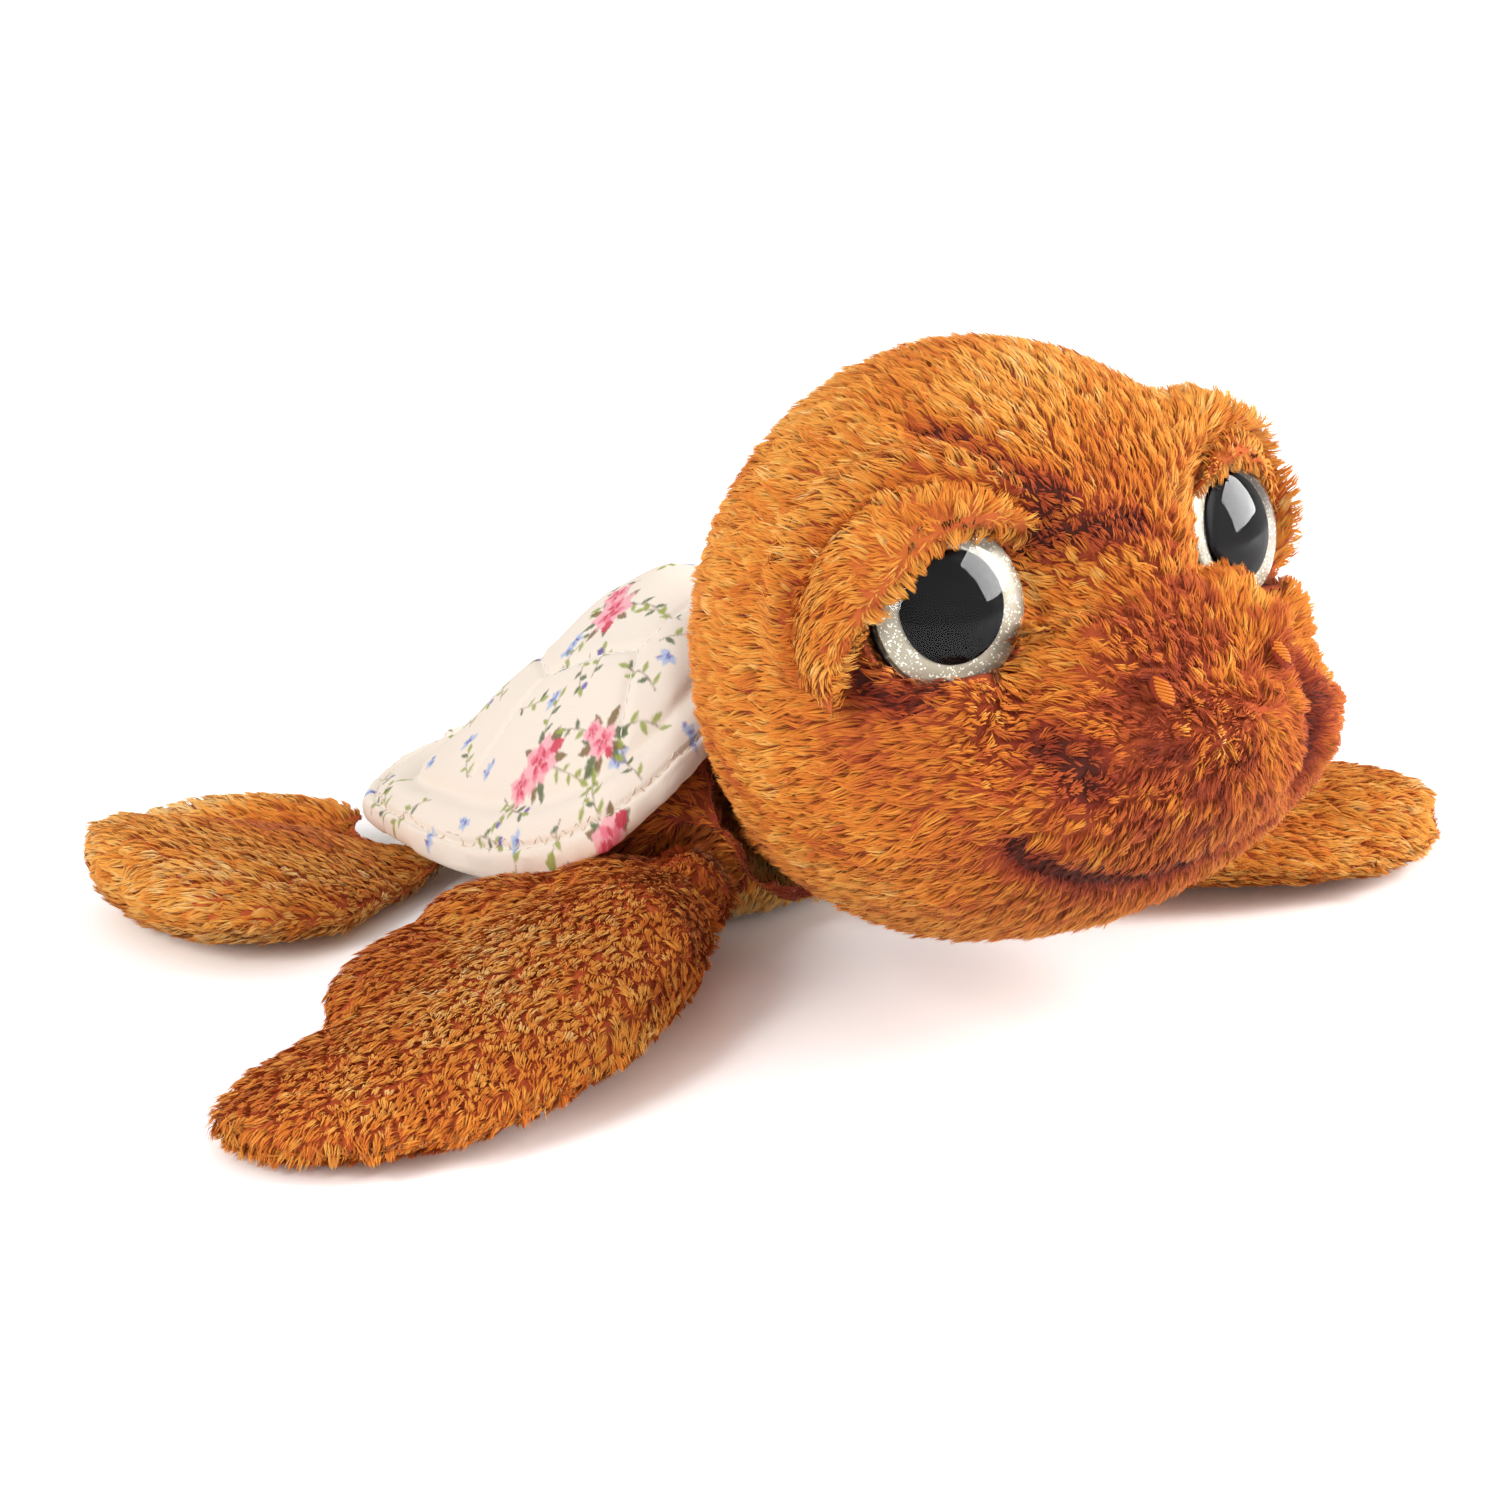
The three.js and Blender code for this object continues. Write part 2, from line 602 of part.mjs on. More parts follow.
// A closed pad between two depths below the shell's surface.
function shellPad(topDepth, bottomDepth, { segments, ringShares }, dips) {
  const rings = ringShares.length - 1;
  const points = [];
  const faces = [];
  const layers = [
    { depth: topDepth, dip: dips },
    { depth: bottomDepth, dip: false },
  ];
  for (const { depth, dip } of layers) {
    points.push(shellPoint(0, 0).setX(0).add(new THREE.Vector3(0, 0, -depth)));
    for (let ring = 1; ring <= rings; ring++) {
      for (let j = 0; j < segments; j++) {
        const angle = Math.PI * ((2 * j) / segments - 1);
        const out = ringShares[ring];
        const point = shellPoint(angle, out);
        point.z -= depth + (dip ? quiltDip(angle, out) : 0);
        points.push(point);
      }
    }
  }
  const layerSize = 1 + rings * segments;
  const at = (layer, ring, j) =>
    layer * layerSize + (ring === 0 ? 0 : 1 + (ring - 1) * segments + (j % segments));
  for (const layer of [0, 1]) {
    for (let ring = 0; ring < rings; ring++) {
      for (let j = 0; j < segments; j++) {
        const quad = [at(layer, ring, j), at(layer, ring + 1, j), at(layer, ring + 1, j + 1)];
        const rest = [at(layer, ring, j), at(layer, ring + 1, j + 1), at(layer, ring, j + 1)];
        faces.push(...(layer ? quad.reverse() : quad));
        if (ring > 0) faces.push(...(layer ? rest.reverse() : rest));
      }
    }
  }
  for (let j = 0; j < segments; j++) {
    const [a, b] = [at(0, rings, j), at(0, rings, j + 1)];
    const [c, d] = [at(1, rings, j), at(1, rings, j + 1)];
    faces.push(a, c, b, b, c, d);
  }
  return outwardSolid(points, faces);
}

const battingTop = COTTON_THICKNESS + 2 * TOUCH_GAP;
const battingBottom = battingTop + BATTING_THICKNESS;
const liningTop = battingBottom + 2 * TOUCH_GAP;
const liningBottom = liningTop + COTTON_THICKNESS;

// The rolled rim, stuffed and top-stitched, as a ring under the cover's edge.
function rimRollSolid(radius) {
  const segments = SHELL_SEGMENTS;
  const points = [];
  const faces = [];
  const around = ROLL_SIDES;
  for (let j = 0; j < segments; j++) {
    const angle = Math.PI * ((2 * j) / segments - 1);
    const reach = 1 - SHELL_RIM_ROLL / rimAt(angle).out;
    const centre = shellPoint(angle, reach);
    centre.z = rimAt(angle).height - COTTON_THICKNESS - TOUCH_GAP - SHELL_RIM_ROLL;
    const outward = new THREE.Vector3(Math.sin(angle), -Math.cos(angle), 0);
    points.push(...ringAround(centre, outward, new THREE.Vector3(0, 0, 1), radius));
  }
  for (let j = 0; j < segments; j++) {
    for (let k = 0; k < around; k++) {
      const next = ((j + 1) % segments) * around;
      const a = j * around + k;
      const b = j * around + ((k + 1) % around);
      faces.push(a, b, next + ((k + 1) % around), a, next + ((k + 1) % around), next + k);
    }
  }
  return outwardSolid(points, faces);
}

// Torso: swollen between the shell and the floor.
const torsoUnit = new THREE.Vector3(TORSO_HALF_WIDTH, TORSO_LENGTH / 2, TORSO_TOP);
const torsoBlobs = blobsFrom(TORSO_BLOB_SHARES, torsoCentre, torsoUnit);

function torsoField(point) {
  const swollen = smoothUnion(
    torsoBlobs.map((blob) => ellipsoidDistance(point, blob)),
    TORSO_BLEND,
  );
  return -smoothUnion([-swollen, point.z + REST_CUT], TORSO_BLEND / 2);
}

function torsoForm(level, detail) {
  const middle = torsoCentre.clone().setZ((TORSO_TOP * 2) / 5);
  return starSolid(torsoField, middle, TORSO_LENGTH, detail, level);
}

function pouchDome(grow) {
  const steps = FLIPPER_SEGMENTS - 2;
  const profile = [[0, -grow]];
  for (let i = 0; i <= steps; i++) {
    const angle = (Math.PI / 2) * (i / steps);
    profile.push([Math.cos(angle), Math.sin(angle)]);
  }
  const dome = profile.map(([out, up], i) => [
    i === 0 ? 0 : out * (POUCH_WIDTH / 2 + grow),
    i === 0 ? -grow : up * (POUCH_HEIGHT + grow) - (i === 1 ? grow : 0),
  ]);
  dome[dome.length - 1][0] = 0;
  const geometry = latheAroundZ(dome, BALL_SEGMENTS);
  geometry.scale(1, (POUCH_LENGTH / 2 + grow) / (POUCH_WIDTH / 2 + grow), 1);
  return geometry.translate(0, POUCH_BACK, PLUSH_THICKNESS - TOUCH_GAP * 2);
}

// Flippers, made pointing along +X from the root ball at the origin, leading edge at +Y.
function flipperStations(kind, inset) {
  const reach = kind.length - kind.rootFace;
  const lowest = -kind.rootHeight - REST_CUT;
  return STATION_SHARES.map((share, i) => {
    const lead = kind.leadShares[i] * kind.width;
    const trail = kind.trailShares[i] * kind.width;
    const top = kind.topShares[i] * kind.thickness;
    const bottom = Math.max(kind.bottomShares[i] * kind.thickness, lowest);
    const least = PLUSH_THICKNESS / 2;
    return {
      along: kind.rootFace + share * reach - (share === 1 ? inset : 0),
      middle: (lead + trail) / 2,
      half: Math.max((lead - trail) / 2 - inset, least),
      level: (top + bottom) / 2,
      rise: Math.max((top - bottom) / 2 - inset, least),
    };
  });
}

function sectionPoint(station, angle) {
  return new THREE.Vector3(
    station.along,
    station.middle + station.half * Math.cos(angle),
    station.level + station.rise * Math.sin(angle),
  );
}

// One sewn panel of a flipper: the half of its skin above or below the edge seam.
function flipperPanel(kind, upper) {
  const outer = flipperStations(kind, 0);
  const inner = flipperStations(kind, PLUSH_THICKNESS);
  const steps = FLIPPER_SEGMENTS;
  const points = [];
  const faces = [];
  outer.forEach((station, i) => {
    const inside = { ...inner[i], along: station.along };
    for (const from of [station, inside]) {
      for (let k = 0; k <= steps; k++) {
        const angle = (upper ? 1 : -1) * Math.PI * (k / steps);
        points.push(sectionPoint(from, angle).add(new THREE.Vector3(0, 0, seamShift(upper))));
      }
    }
  });
  const row = steps + 1;
  const at = (i, inside, k) => (2 * i + (inside ? 1 : 0)) * row + k;
  const quad = (a, b, c, d) => faces.push(a, b, c, a, c, d);
  for (let i = 0; i + 1 < outer.length; i++) {
    for (let k = 0; k < steps; k++) {
      quad(at(i, false, k), at(i, false, k + 1), at(i + 1, false, k + 1), at(i + 1, false, k));
      quad(at(i, true, k), at(i + 1, true, k), at(i + 1, true, k + 1), at(i, true, k + 1));
    }
    quad(at(i, false, 0), at(i + 1, false, 0), at(i + 1, true, 0), at(i, true, 0));
    quad(at(i, false, steps), at(i, true, steps), at(i + 1, true, steps), at(i + 1, false, steps));
  }
  const end = outer.length - 1;
  for (let k = 0; k < steps; k++) {
    quad(at(0, false, k), at(0, true, k), at(0, true, k + 1), at(0, false, k + 1));
    quad(at(end, false, k), at(end, false, k + 1), at(end, true, k + 1), at(end, true, k));
  }
  return outwardSolid(points, faces);
}

function seamShift(upper) {
  return ((upper ? 1 : -1) * TOUCH_GAP) / 2;
}

function flipperFill(kind) {
  const rings = flipperStations(kind, PLUSH_THICKNESS + 3 * TOUCH_GAP).map((station) => {
    const ring = [];
    for (let k = 0; k < 2 * FLIPPER_SEGMENTS; k++) {
      ring.push(sectionPoint(station, (Math.PI * k) / FLIPPER_SEGMENTS));
    }
    return ring;
  });
  return loftSolid(rings.slice(0, -1));
}

// Puts a flipper's piece on the toy: mirrored for the side it is on and swung to its rest.
function placeFlipper(solid, kind, side) {
  const geometry = geometryOf(solid);
  const swing = kind.restSwing[side < 0 ? "right" : "left"];
  geometry.rotateZ(THREE.MathUtils.degToRad(swing));
  geometry.scale(side, -1, 1);
  if (side > 0) turnFacesRound(geometry);
  geometry.translate(side * kind.rootHalfSpacing, kind.rootBack, kind.rootHeight);
  return solidOf(geometry);
}

function turnFacesRound(geometry) {
  const index = geometry.index.array;
  for (let i = 0; i < index.length; i += 3) {
    [index[i + 1], index[i + 2]] = [index[i + 2], index[i + 1]];
  }
}

function rootCentre(kind, side) {
  return new THREE.Vector3(side * kind.rootHalfSpacing, kind.rootBack, kind.rootHeight);
}

// Colours as they look in even light.
const caramel = plushMaterial("#b96a1d");
const chestnut = plushMaterial("#8a4216");
const golden = plushMaterial("#cf8a35");
const cream = plushMaterial("#e9d3b4");
const printedCotton = plushMaterial("#f3e6d8");
const wadding = plushMaterial("#f4f2ee");
const pelletWhite = new THREE.MeshStandardMaterial({ color: "#e8e4da", roughness: 0.6, metalness: 0 });
const blackPlastic = new THREE.MeshStandardMaterial({ color: "#101010", roughness: 0.35, metalness: 0 });
const glitter = new THREE.MeshStandardMaterial({ color: "#b9b3a2", roughness: 0.3, metalness: 0.5 });
const clearPlastic = new THREE.MeshStandardMaterial({
  color: "#ffffff",
  roughness: 0.05,
  metalness: 0,
  transparent: true,
  opacity: 0.3,
});

function plushMaterial(color) {
  return new THREE.MeshStandardMaterial({ color, roughness: 0.95, metalness: 0 });
}

const turtle = new THREE.Group();

function addPiece(parent, name, solid, material) {
  const mesh = new THREE.Mesh(geometryOf(solid), material);
  mesh.name = name;
  parent.add(mesh);
  return mesh;
}

function addHead() {
  const head = new THREE.Group();
  const skin = headSkinSolid();
  const room = headForm(TOUCH_GAP, HEAD_DETAIL);
  addPiece(head, "head_plush", upperHeadSkin(skin), caramel);
  addPiece(head, "jaw_panel", jawSkin(skin), caramel);
  addPiece(head, "head_fill", headFillSolid(), wadding);
  for (const [word, side] of [["right", -1], ["left", 1]]) {
    addPiece(head, `eyelid_${word}`, eyelidSolid(side, room), golden);
    addPiece(head, `nostril_${word}`, nostrilSolid(side, room), golden);
    addEye(head, word, side);
  }
  turtle.add(head);
}

function addEye(head, word, side) {
  addPiece(head, `eye_cup_${word}`, eyeCupSolid(side), blackPlastic);
  const irisRadius = eyeRadius - EYE_CUP_DEPTH / 2 - TOUCH_GAP;
  addPiece(head, `eye_iris_${word}`, eyeDisc(side, irisRadius, irisLow, irisHigh), glitter);
  const pupil = eyeDisc(side, PUPIL_DIAMETER / 2, pupilLow, pupilHigh);
  addPiece(head, `eye_pupil_${word}`, pupil, blackPlastic);
  addPiece(head, `eye_lens_${word}`, eyeLensSolid(side), clearPlastic);
  addPiece(head, `eye_washer_${word}`, washerSolid(side), pelletWhite);
}

function addNeck() {
  const neck = new THREE.Group();
  addPiece(neck, "neck_plush", neckBandSolid(), chestnut);
  const core = neckBall(NECK_RADIUS - PLUSH_THICKNESS - TOUCH_GAP);
  addPiece(neck, "neck_fill", core, wadding);
  turtle.add(neck);
}

function addTorso() {
  const torso = new THREE.Group();
  const headRoom = headForm(HEAD_PLAY, HEAD_INNER_DETAIL);
  const underShell = (extra) =>
    shellPad(-CUT_OVERRUN, liningBottom + ROOM_SLACK + extra, ROOM_GRID, false);
  const rimRoom = rimRollSolid(SHELL_RIM_ROLL + 2 * TOUCH_GAP);
  const rooms = [neckRoom(), headRoom, floorBlock(), rimRoom, ...rootRooms()];
  const outer = cut(torsoForm(0, TORSO_DETAIL), underShell(2 * TOUCH_GAP), ...rooms);
  const inner = torsoForm(-PLUSH_THICKNESS, TORSO_INNER_DETAIL);
  const skin = outer.subtract(inner.subtract(underShell(2 * TOUCH_GAP + PLUSH_THICKNESS)));
  const size = 4 * CUT_OVERRUN;
  const slab = new THREE.BoxGeometry(size, size, size);
  const below = slab.clone().translate(0, 0, BELLY_SEAM_HEIGHT + (TOUCH_GAP - size) / 2);
  const above = slab.clone().translate(0, 0, BELLY_SEAM_HEIGHT + (size - TOUCH_GAP) / 2);
  addPiece(torso, "torso_plush", skin.subtract(solidOf(below)), chestnut);
  addPiece(torso, "belly_panel", skin.subtract(solidOf(above)), cream);
  const form = torsoForm(-PLUSH_THICKNESS - 3 * TOUCH_GAP, TORSO_INNER_DETAIL);
  const underSkin = PLUSH_THICKNESS + 4 * TOUCH_GAP;
  const stuffed = cut(form, underShell(underSkin), ...rooms);
  addPiece(torso, "torso_fill", stuffed.subtract(solidOf(pouchDome(TOUCH_GAP))), wadding);
  addPiece(torso, "bean_pouch", stuffed.intersect(solidOf(pouchDome(0))), pelletWhite);
  addShell(torso, headRoom, rimRoom);
  turtle.add(torso);
}

function rootRooms() {
  return [FRONT_FLIPPER, REAR_FLIPPER].flatMap((kind) =>
    [-1, 1].map((side) => rootRoom(rootCentre(kind, side), kind)),
  );
}

function rootRoom(centre, kind) {
  return ballRoom(centre, kind.rootRadius, ROOT_BALL_SEGMENTS, ROOT_BALL_RINGS);
}

function addShell(torso, headRoom, rimRoom) {
  const cover = shellPad(0, COTTON_THICKNESS, COVER_GRID, true);
  addPiece(torso, "shell_cover", cover.subtract(headRoom), printedCotton);
  const roll = rimRollSolid(SHELL_RIM_ROLL);
  addPiece(torso, "shell_rim", cut(roll, headRoom, neckRoom()), printedCotton);
  const batting = shellPad(battingTop, battingBottom, INNER_GRID, false);
  addPiece(torso, "shell_batting", cut(batting, headRoom, rimRoom), wadding);
  const lining = shellPad(liningTop, liningBottom, INNER_GRID, false);
  addPiece(torso, "shell_lining", cut(lining, headRoom, rimRoom), printedCotton);
}

function addFlippers() {
  const origin = new THREE.Vector3();
  for (const [place, kind] of [["front", FRONT_FLIPPER], ["rear", REAR_FLIPPER]]) {
    const room = rootRoom(origin, kind);
    const ball = ballSolid(origin, kind.rootRadius, ROOT_BALL_SEGMENTS, ROOT_BALL_RINGS);
    for (const [word, side] of [["right", -1], ["left", 1]]) {
      const name = `${place}_flipper_${word}`;
      const flipper = new THREE.Group();
      const put = (solid) => placeFlipper(solid.subtract(room), kind, side).subtract(floorBlock());
      addPiece(flipper, `${name}_upper`, put(flipperPanel(kind, true)), chestnut);
      addPiece(flipper, `${name}_under`, put(flipperPanel(kind, false)), caramel);
      addPiece(flipper, `${name}_fill`, put(flipperFill(kind)), pelletWhite);
      addPiece(flipper, `${name}_root`, placeFlipper(ball, kind, side), chestnut);
      turtle.add(flipper);
    }
  }
}

addTorso();
addNeck();
addHead();
addFlippers();

export default turtle;
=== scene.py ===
# %% [markdown]
# # A plush sea turtle with a quilted shell
# This notebook dresses a jointed plush turtle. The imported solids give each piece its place
# and its joint, and the cells below put pile, printed cotton, thread and safety eyes on them.
# Everything is in metres, +Z is up and the turtle looks along -Y.

# %% Load the jointed solids
import json
import math
import bpy
import bmesh
import numpy as np
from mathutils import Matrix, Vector
from mathutils.bvhtree import BVHTree
from mathutils.kdtree import KDTree

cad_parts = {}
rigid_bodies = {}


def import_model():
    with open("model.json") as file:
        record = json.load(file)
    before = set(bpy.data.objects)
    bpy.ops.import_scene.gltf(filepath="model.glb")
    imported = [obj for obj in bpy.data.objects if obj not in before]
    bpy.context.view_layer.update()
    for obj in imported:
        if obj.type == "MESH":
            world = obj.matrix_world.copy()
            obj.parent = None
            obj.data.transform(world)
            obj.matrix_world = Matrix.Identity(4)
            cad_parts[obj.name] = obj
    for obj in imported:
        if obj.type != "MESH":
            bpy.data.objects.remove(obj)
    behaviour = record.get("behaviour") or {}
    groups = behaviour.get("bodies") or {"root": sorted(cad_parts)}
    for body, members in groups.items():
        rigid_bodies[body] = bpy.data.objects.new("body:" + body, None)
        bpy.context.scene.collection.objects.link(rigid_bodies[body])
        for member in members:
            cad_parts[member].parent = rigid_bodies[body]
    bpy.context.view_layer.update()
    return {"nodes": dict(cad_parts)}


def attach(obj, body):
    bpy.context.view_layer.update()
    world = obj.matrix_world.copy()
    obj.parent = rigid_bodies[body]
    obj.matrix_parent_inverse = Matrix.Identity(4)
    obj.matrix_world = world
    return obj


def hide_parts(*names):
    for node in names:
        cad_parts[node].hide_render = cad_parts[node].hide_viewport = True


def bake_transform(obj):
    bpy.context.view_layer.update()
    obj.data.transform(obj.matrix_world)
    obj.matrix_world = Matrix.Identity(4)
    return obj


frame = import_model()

# %% [markdown]
# ## The camera first
# A few marks on the toy, such as a fold above an eye, are easiest to place where they are
# seen. So the camera comes before the pieces, and a small helper finds the point of a skin
# that lies behind a spot of the 1500 by 1500 picture.

# %% Place the camera
MM = 0.001
PICTURE = 1500
FOCAL_PIXELS = 2850
SENSOR_MM = 36
VIEW_AZIMUTH = math.radians(-42)
VIEW_ELEVATION = math.radians(20)
VIEW_TARGET = Vector((-21, -22, 40)) * MM
VIEW_DISTANCE = 500 * MM

view_back = Vector((
    math.sin(VIEW_AZIMUTH) * math.cos(VIEW_ELEVATION),
    -math.cos(VIEW_AZIMUTH) * math.cos(VIEW_ELEVATION),
    math.sin(VIEW_ELEVATION),
))
view_right = Vector((math.cos(VIEW_AZIMUTH), math.sin(VIEW_AZIMUTH), 0))
view_up = view_back.cross(view_right)
eye_point = VIEW_TARGET + view_back * VIEW_DISTANCE

camera_data = bpy.data.cameras.new("camera")
camera_data.sensor_width = SENSOR_MM
camera_data.lens = FOCAL_PIXELS * SENSOR_MM / PICTURE
camera = bpy.data.objects.new("camera", camera_data)
camera.location = eye_point
camera.rotation_euler = view_back.to_track_quat("Z", "Y").to_euler()
bpy.context.scene.collection.objects.link(camera)
bpy.context.scene.camera = camera
print("camera at", tuple(round(c / MM) for c in eye_point), "mm")


def spot_on(tree, spot):
    """The point of a skin that the camera sees at a spot of the picture."""
    across = (spot[0] - PICTURE / 2) / FOCAL_PIXELS
    down = (spot[1] - PICTURE / 2) / FOCAL_PIXELS
    aim = view_right * across - view_up * down - view_back
    found = tree.ray_cast(eye_point, aim.normalized())
    return None if found[0] is None else np.array(found[0])


# %% [markdown]
# ## Skins from the solids
# A stuffed form is a closed bag, pulled round by its filling. The solids are a good size but
# faceted, so a fine voxel remesh welds the panels of one bag together, a smoothing pass
# rounds them, and a small step inwards leaves the room that the pile stands in.

# %% Read and write meshes as arrays
shown = bpy.context.scene.collection.objects
HEAD_MIDDLE = np.array([0, -57, 64]) * MM


def coordinates(mesh):
    """The vertices of a mesh as an array of rows."""
    flat = np.zeros(len(mesh.vertices) * 3)
    mesh.vertices.foreach_get("co", flat)
    return flat.reshape(-1, 3)


def normals_of(mesh):
    """The vertex normals of a mesh as an array of rows."""
    flat = np.zeros(len(mesh.vertices) * 3, np.float32)
    mesh.vertex_normals.foreach_get("vector", flat)
    return flat.reshape(-1, 3).astype(float)


def move_to(mesh, places):
    """Writes new places for every vertex."""
    mesh.vertices.foreach_set("co", np.asarray(places, np.float32).ravel())
    mesh.update()


def unit(rows):
    """Each row at length one."""
    size = np.linalg.norm(rows, axis=-1, keepdims=True)
    return rows / np.maximum(size, 1e-12)


def bell(values, middle, wide):
    """1 at the middle, falling off softly."""
    return np.exp(-(((values - middle) / wide) ** 2))


def smooth_shaded(mesh):
    """Shades every face of a mesh smoothly."""
    mesh.polygons.foreach_set("use_smooth", np.ones(len(mesh.polygons), bool))
    mesh.update()


print("objects before the dressing:", len(shown))

# %% [markdown]
# ## Objects and modifiers
# A modifier is easy to try out, but the pile has to be rooted in the real points of a skin.
# So each modifier is worked into its mesh as soon as it is set, and where a remesh leaves
# hidden inner walls, only the outer one is kept.

# %% Make pieces and work in their modifiers


def piece(name, mesh):
    """A new object in the scene for a mesh."""
    made = bpy.data.objects.new(name, mesh)
    shown.link(made)
    return made


def finished(obj):
    """The mesh of an object with its modifiers worked in."""
    graph = bpy.context.evaluated_depsgraph_get()
    mesh = bpy.data.meshes.new_from_object(obj.evaluated_get(graph))
    obj.modifiers.clear()
    obj.data = mesh
    smooth_shaded(mesh)
    return obj


def soften(obj, rounds):
    """Rounds off a mesh in place."""
    ease = obj.modifiers.new("ease", "SMOOTH")
    ease.factor = 0.5
    ease.iterations = rounds
    return finished(obj)


def mesh_of(bm, name):
    """Turns a bmesh into a mesh and frees it."""
    mesh = bpy.data.meshes.new(name)
    bm.to_mesh(mesh)
    bm.free()
    return mesh


def largest_part(mesh):
    """Keeps the connected part of a mesh with the largest box, and drops hidden walls."""
    bm = bmesh.new()
    bm.from_mesh(mesh)
    parts = []
    seen = set()
    for start in bm.verts:
        if start in seen:
            continue
        part = {start}
        front = [start]
        while front:
            vertex = front.pop()
            for edge in vertex.link_edges:
                other = edge.other_vert(vertex)
                if other not in part:
                    part.add(other)
                    front.append(other)
        seen |= part
        parts.append(part)

    def spread(part):
        rows = np.array([v.co for v in part])
        return np.ptp(rows, axis=0).sum()

    keep = max(parts, key=spread)
    bmesh.ops.delete(bm, geom=[v for v in bm.verts if v not in keep], context="VERTS")
    bm.to_mesh(mesh)
    bm.free()
    return len(parts)


print("solids to dress:", len(frame["nodes"]))

# %% [markdown]
# ## Rolls and pads
# A plush maker shapes a toy with a few kinds of stuffed form, such as long rolls for folds
# and round pads where the filling gathers. Metaballs could stand for them, but plain meshes
# that a voxel remesh welds together keep their places exactly. A roll is a row of rings, and
# so are the eyelids, the eyes and the stitches further down.

# %% Shape rolls and pads


def add_tube(bm, rings):
    """Adds a closed skin over a row of rings of points, where a ring may be one point."""
    made = [[bm.verts.new(place) for place in ring] for ring in rings]
    for low, high in zip(made, made[1:]):
        for k in range(max(len(low), len(high))):
            lower = [low[k % len(low)], low[(k + 1) % len(low)]]
            upper = [high[(k + 1) % len(high)], high[k % len(high)]]
            bm.faces.new(list(dict.fromkeys(lower + upper)))
    for end in (made[0][::-1], made[-1]):
        if len(end) > 2:
            bm.faces.new(end)


def circle(centre, side, rise, radius, count):
    """Points round a circle in the plane of two ways, with the radius in millimetres."""
    ring = []
    for k in range(count):
        angle = 2 * math.pi * k / count
        step = side * math.cos(angle) + rise * math.sin(angle)
        ring.append(centre + step * radius * MM)
    return ring


def roll(path, radii, sides=14):
    """A closed padded roll along a path in metres, with a radius in millimetres at each point."""
    path = np.asarray(path, float)
    ahead = unit(np.gradient(path, axis=0))
    rings = []
    for place, way, radius in zip(path, ahead, radii):
        out = Vector(place - HEAD_MIDDLE).normalized()
        side = Vector(way).cross(out).normalized()
        rise = side.cross(Vector(way)).normalized()
        rings.append(circle(Vector(place), side, rise, radius, sides))
    bm = bmesh.new()
    add_tube(bm, rings)
    bmesh.ops.recalc_face_normals(bm, faces=bm.faces)
    return mesh_of(bm, "roll")


def pad(centre, radii, turn=0.0):
    """A rounded pad, centre and radii in millimetres, turned about the vertical in degrees."""
    bm = bmesh.new()
    bmesh.ops.create_icosphere(bm, subdivisions=4, radius=1)
    spin = math.radians(turn)
    for vertex in bm.verts:
        x, y, z = (vertex.co[k] * radii[k] for k in range(3))
        across = x * math.cos(spin) - y * math.sin(spin)
        along = x * math.sin(spin) + y * math.cos(spin)
        vertex.co = (Vector(centre) + Vector((across, along, z))) * MM
    return mesh_of(bm, "pad")


# %% [markdown]
# ## Bags from the solids
# One bag of the toy is several solids: its panels and its filling. Joining them by hand
# would leave seams, so the helper below swells them a little until they overlap, remeshes
# them into one closed skin and steps back inwards by the room of the pile.

# %% Weld solids into one skin


def stuffed_skin(name, solids, voxel, rounds, inwards, swell=0.4, extra=()):
    """One rounded closed skin round several solids, all lengths in millimetres."""
    bm = bmesh.new()
    for solid in solids:
        bm.from_mesh(frame["nodes"][solid].data)
    for form in extra:
        bm.from_mesh(form)
    bmesh.ops.remove_doubles(bm, verts=bm.verts, dist=0.01 * MM)
    obj = piece(name, mesh_of(bm, name))
    swelling = obj.modifiers.new("swell", "DISPLACE")
    swelling.strength = swell * MM
    swelling.mid_level = 0
    weld = obj.modifiers.new("weld", "REMESH")
    weld.mode = "VOXEL"
    weld.voxel_size = voxel * MM
    finished(obj)
    parts = largest_part(obj.data)
    soften(obj, rounds)
    rows = coordinates(obj.data) - normals_of(obj.data) * (inwards + swell) * MM
    move_to(obj.data, rows)
    print(name, "has", len(obj.data.polygons), "faces, from", parts, "shells")
    return obj


def tree_of(obj):
    """A search tree over the faces of an object."""
    graph = bpy.context.evaluated_depsgraph_get()
    return BVHTree.FromObject(obj, graph)


def finder_of(rows):
    """A search tree over a list of points."""
    finder = KDTree(len(rows))
    for at, row in enumerate(rows):
        finder.insert(row, at)
    finder.balance()
    return finder


# %% [markdown]
# ## The folds of the face
# The face gets its tired look from sewn folds: a thick brow over each eye, a padded lid, a
# furrow across the forehead and a two-lobed muzzle. Thick folds are rolls of filling, welded
# into the skin. Narrow ones are creases pressed into it afterwards, along paths that are
# read where the camera sees them and mirrored to the other side.

# %% Find places on the bare head
EYES = {"right": np.array([-33, -80, 82]) * MM, "left": np.array([33, -80, 82]) * MM}
RIGHT_WAY = unit(np.array([-0.28, -0.92, 0.27]))
MIRROR = np.array([-1, 1, 1])
EYE_WAYS = {"right": RIGHT_WAY, "left": RIGHT_WAY * MIRROR}
HEAD_SOLIDS = ["head_plush", "jaw_panel", "head_fill"]
bare_head = stuffed_skin("bare_head", HEAD_SOLIDS, 2.0, 6, 0.0)
head_tree = tree_of(bare_head)
bpy.data.objects.remove(bare_head)


def dense(path, count=60):
    """The same path with many even points."""
    knots = np.linspace(0, len(path) - 1, count)
    return np.stack([np.interp(knots, np.arange(len(path)), path[:, k]) for k in range(3)], axis=1)


